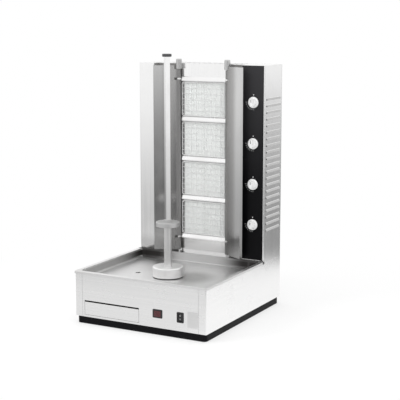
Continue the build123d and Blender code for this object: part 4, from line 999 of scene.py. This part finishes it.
def dial_marks(number):
    """Printed marks round a knob: a dot for shut on top, and strokes that shorten towards low heat."""
    low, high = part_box(f"knob_{number}")
    centre = Vector(((low.x + high.x) / 2, panel_y, (low.z + high.z) / 2))
    above = centre + Vector((0, 0, DIAL_RADIUS + DOT_RISE))
    dot = begin(bpy.ops.mesh.primitive_cylinder_add, "dial_dot", vertices=DOT_SIDES, radius=DOT_RADIUS,
                depth=2 * MARK_PROUD, location=above, rotation=TO_FRONT)
    settle(dot)
    shape(dot)
    pick(dot, "FACE", is_round_end)
    bpy.ops.mesh.inset(thickness=DOT_BORDER, depth=0.0)
    leave()
    parts = [dot]
    longest, shortest = TICK_LENGTHS
    for k in range(DIAL_TICKS):
        share = k / (DIAL_TICKS - 1)
        angle = math.radians(DIAL_START + DIAL_SWEEP * share)
        length = longest - (longest - shortest) * share
        tick = slab("dial_tick", Vector((-TICK_WIDTH / 2, -MARK_PROUD, 0)),
                    Vector((TICK_WIDTH / 2, MARK_PROUD, length)), TICK_BEVEL, 1)
        tick.rotation_euler = (0, -angle, 0)
        tick.location = centre + DIAL_RADIUS * Vector((-math.sin(angle), 0, math.cos(angle)))
        settle(tick)
        parts.append(tick)
    marks = join(f"dial_marks_{number}", parts)
    hand_over(marks, "frame", "knob_white", "print_white", smooth=None)


ceramic_plates()
burner_guards()
lamp_lens()
label_plate()
gas_inlet()
casing_screws()
inlet_pins()
rocker_marks()
for number in range(1, ZONE_COUNT + 1):
    knob_pointer(number)
    dial_marks(number)


# Stage, light and camera

def seen_directly(g):
    """1 for what the camera, a mirror or glass sees, 0 for light that is scattered."""
    camera = g.add("ShaderNodeLightPath", "Is Camera Ray")
    mirror = g.add("ShaderNodeLightPath", "Is Glossy Ray")
    glass = g.add("ShaderNodeLightPath", "Is Transmission Ray")
    return camera + mirror + glass


def studio_world():
    """White to the camera and in the metal, and a plain level of scattered light."""
    world = bpy.data.worlds.new("studio")
    bpy.context.scene.world = world
    world.use_nodes = True
    g = Graph(world.node_tree)
    seen = g.blend(seen_directly(g), grey(SCATTERED_LIGHT), grey(1.0))
    background = g.add("ShaderNodeBackground", 0, None, {"Color": seen, "Strength": 1.0})
    g.add("ShaderNodeOutputWorld", 0, None, {"Surface": background})


def facing(g, from_middle, azimuth, half):
    """1 on the floor towards an azimuth, 0 past a half width on either side of it."""
    view = math.radians(azimuth)
    along = g.add("ShaderNodeVectorMath", 1, {"operation": "DOT_PRODUCT"},
                  {0: g.place((1, 1, 0)), 1: (math.sin(view), -math.cos(view), 0)})
    edge, full = (math.cos(math.radians(angle)) for angle in (half, half / 3))
    return g.between(along / from_middle, edge, full)


def room_level(g, from_middle):
    """What the metal sees of the floor: a pale sweep, a greyer room and its white far end."""
    reach = from_middle.math("LOGARITHM", from_middle, math.e)
    beyond = g.between(from_middle, *SWEEP_EDGE)
    room = g.between(reach, math.log(ROOM_NEAR), math.log(ROOM_FAR), ROOM_GREY, 1.0)
    azimuth, half, share = SWEEP_FRONT
    sweep = SWEEP_WHITE * (1.0 - (1.0 - share) * facing(g, from_middle, azimuth, half))
    level = sweep + beyond * (room - sweep)
    for azimuth, half, near, far, share in DARK_SIDES:
        dim = g.between(reach, math.log(near), math.log(far), share, 1.0)
        level = level * (1.0 - beyond * facing(g, from_middle, azimuth, half) * (1.0 - dim))
    return level


def pale_floor():
    """White floor with the object's soft shadow."""
    floor = begin(bpy.ops.mesh.primitive_plane_add, "pale_floor", size=FLOOR_SIZE, location=(0, 0, 0))
    material, g = new_finish("pale_floor")
    from_middle = g.from_upright(0, 0)
    low, high = FLOOR_TONES
    pale = g.blend(g.noise(g.place(), FLOOR_SPECK, 2.0), grey(low), grey(high))
    matt = g.add("ShaderNodeBsdfDiffuse", 0, None, {"Color": pale})
    white = g.add("ShaderNodeEmission", 0, None, {"Color": grey(1.0), "Strength": 1.0})
    camera = g.add("ShaderNodeLightPath", "Is Camera Ray")
    to_camera = camera * g.between(from_middle, *SHADOW_EDGE, SHADOW_WHITE, 1.0)
    mixed = g.add("ShaderNodeMixShader", 0, None, {0: to_camera, 1: matt, 2: white})
    level = room_level(g, from_middle)
    tint = g.add("ShaderNodeCombineColor", 0, None, {0: level, 1: level, 2: level})
    room = g.add("ShaderNodeEmission", 0, None, {"Color": tint, "Strength": 1.0})
    mirror = g.add("ShaderNodeLightPath", "Is Glossy Ray")
    surface = g.add("ShaderNodeMixShader", 0, None, {0: mirror, 1: mixed, 2: room})
    g.add("ShaderNodeOutputMaterial", 0, None, {"Surface": surface})
    floor.data.materials.append(material)


def softbox(name, place, target, size, watts):
    """A soft rectangular lamp that the metal doesn't mirror."""
    lamp = bpy.data.lights.new(name, "AREA")
    lamp.shape = "RECTANGLE"
    lamp.size, lamp.size_y = size
    lamp.energy = watts
    box = bpy.data.objects.new(name, lamp)
    bpy.context.scene.collection.objects.link(box)
    box.location = place
    box.rotation_euler = (Vector(target) - Vector(place)).to_track_quat("-Z", "Y").to_euler()
    box.visible_glossy = False


def photo_camera():
    """The camera at the photograph's viewing angle."""
    camera = bpy.data.cameras.new("camera")
    camera.sensor_width = CAMERA_SENSOR
    camera.lens = CAMERA_LENS
    holder = bpy.data.objects.new("camera", camera)
    bpy.context.scene.collection.objects.link(holder)
    holder.location = CAMERA_PLACE
    holder.rotation_euler = (math.radians(90 - CAMERA_DOWN), 0, math.radians(CAMERA_TURN))
    bpy.context.scene.camera = holder


studio_world()
pale_floor()
for name, (place, target, size, watts) in SOFTBOXES.items():
    softbox(name, place, target, size, watts)
photo_camera()
bpy.context.scene.view_settings.view_transform = "Standard"
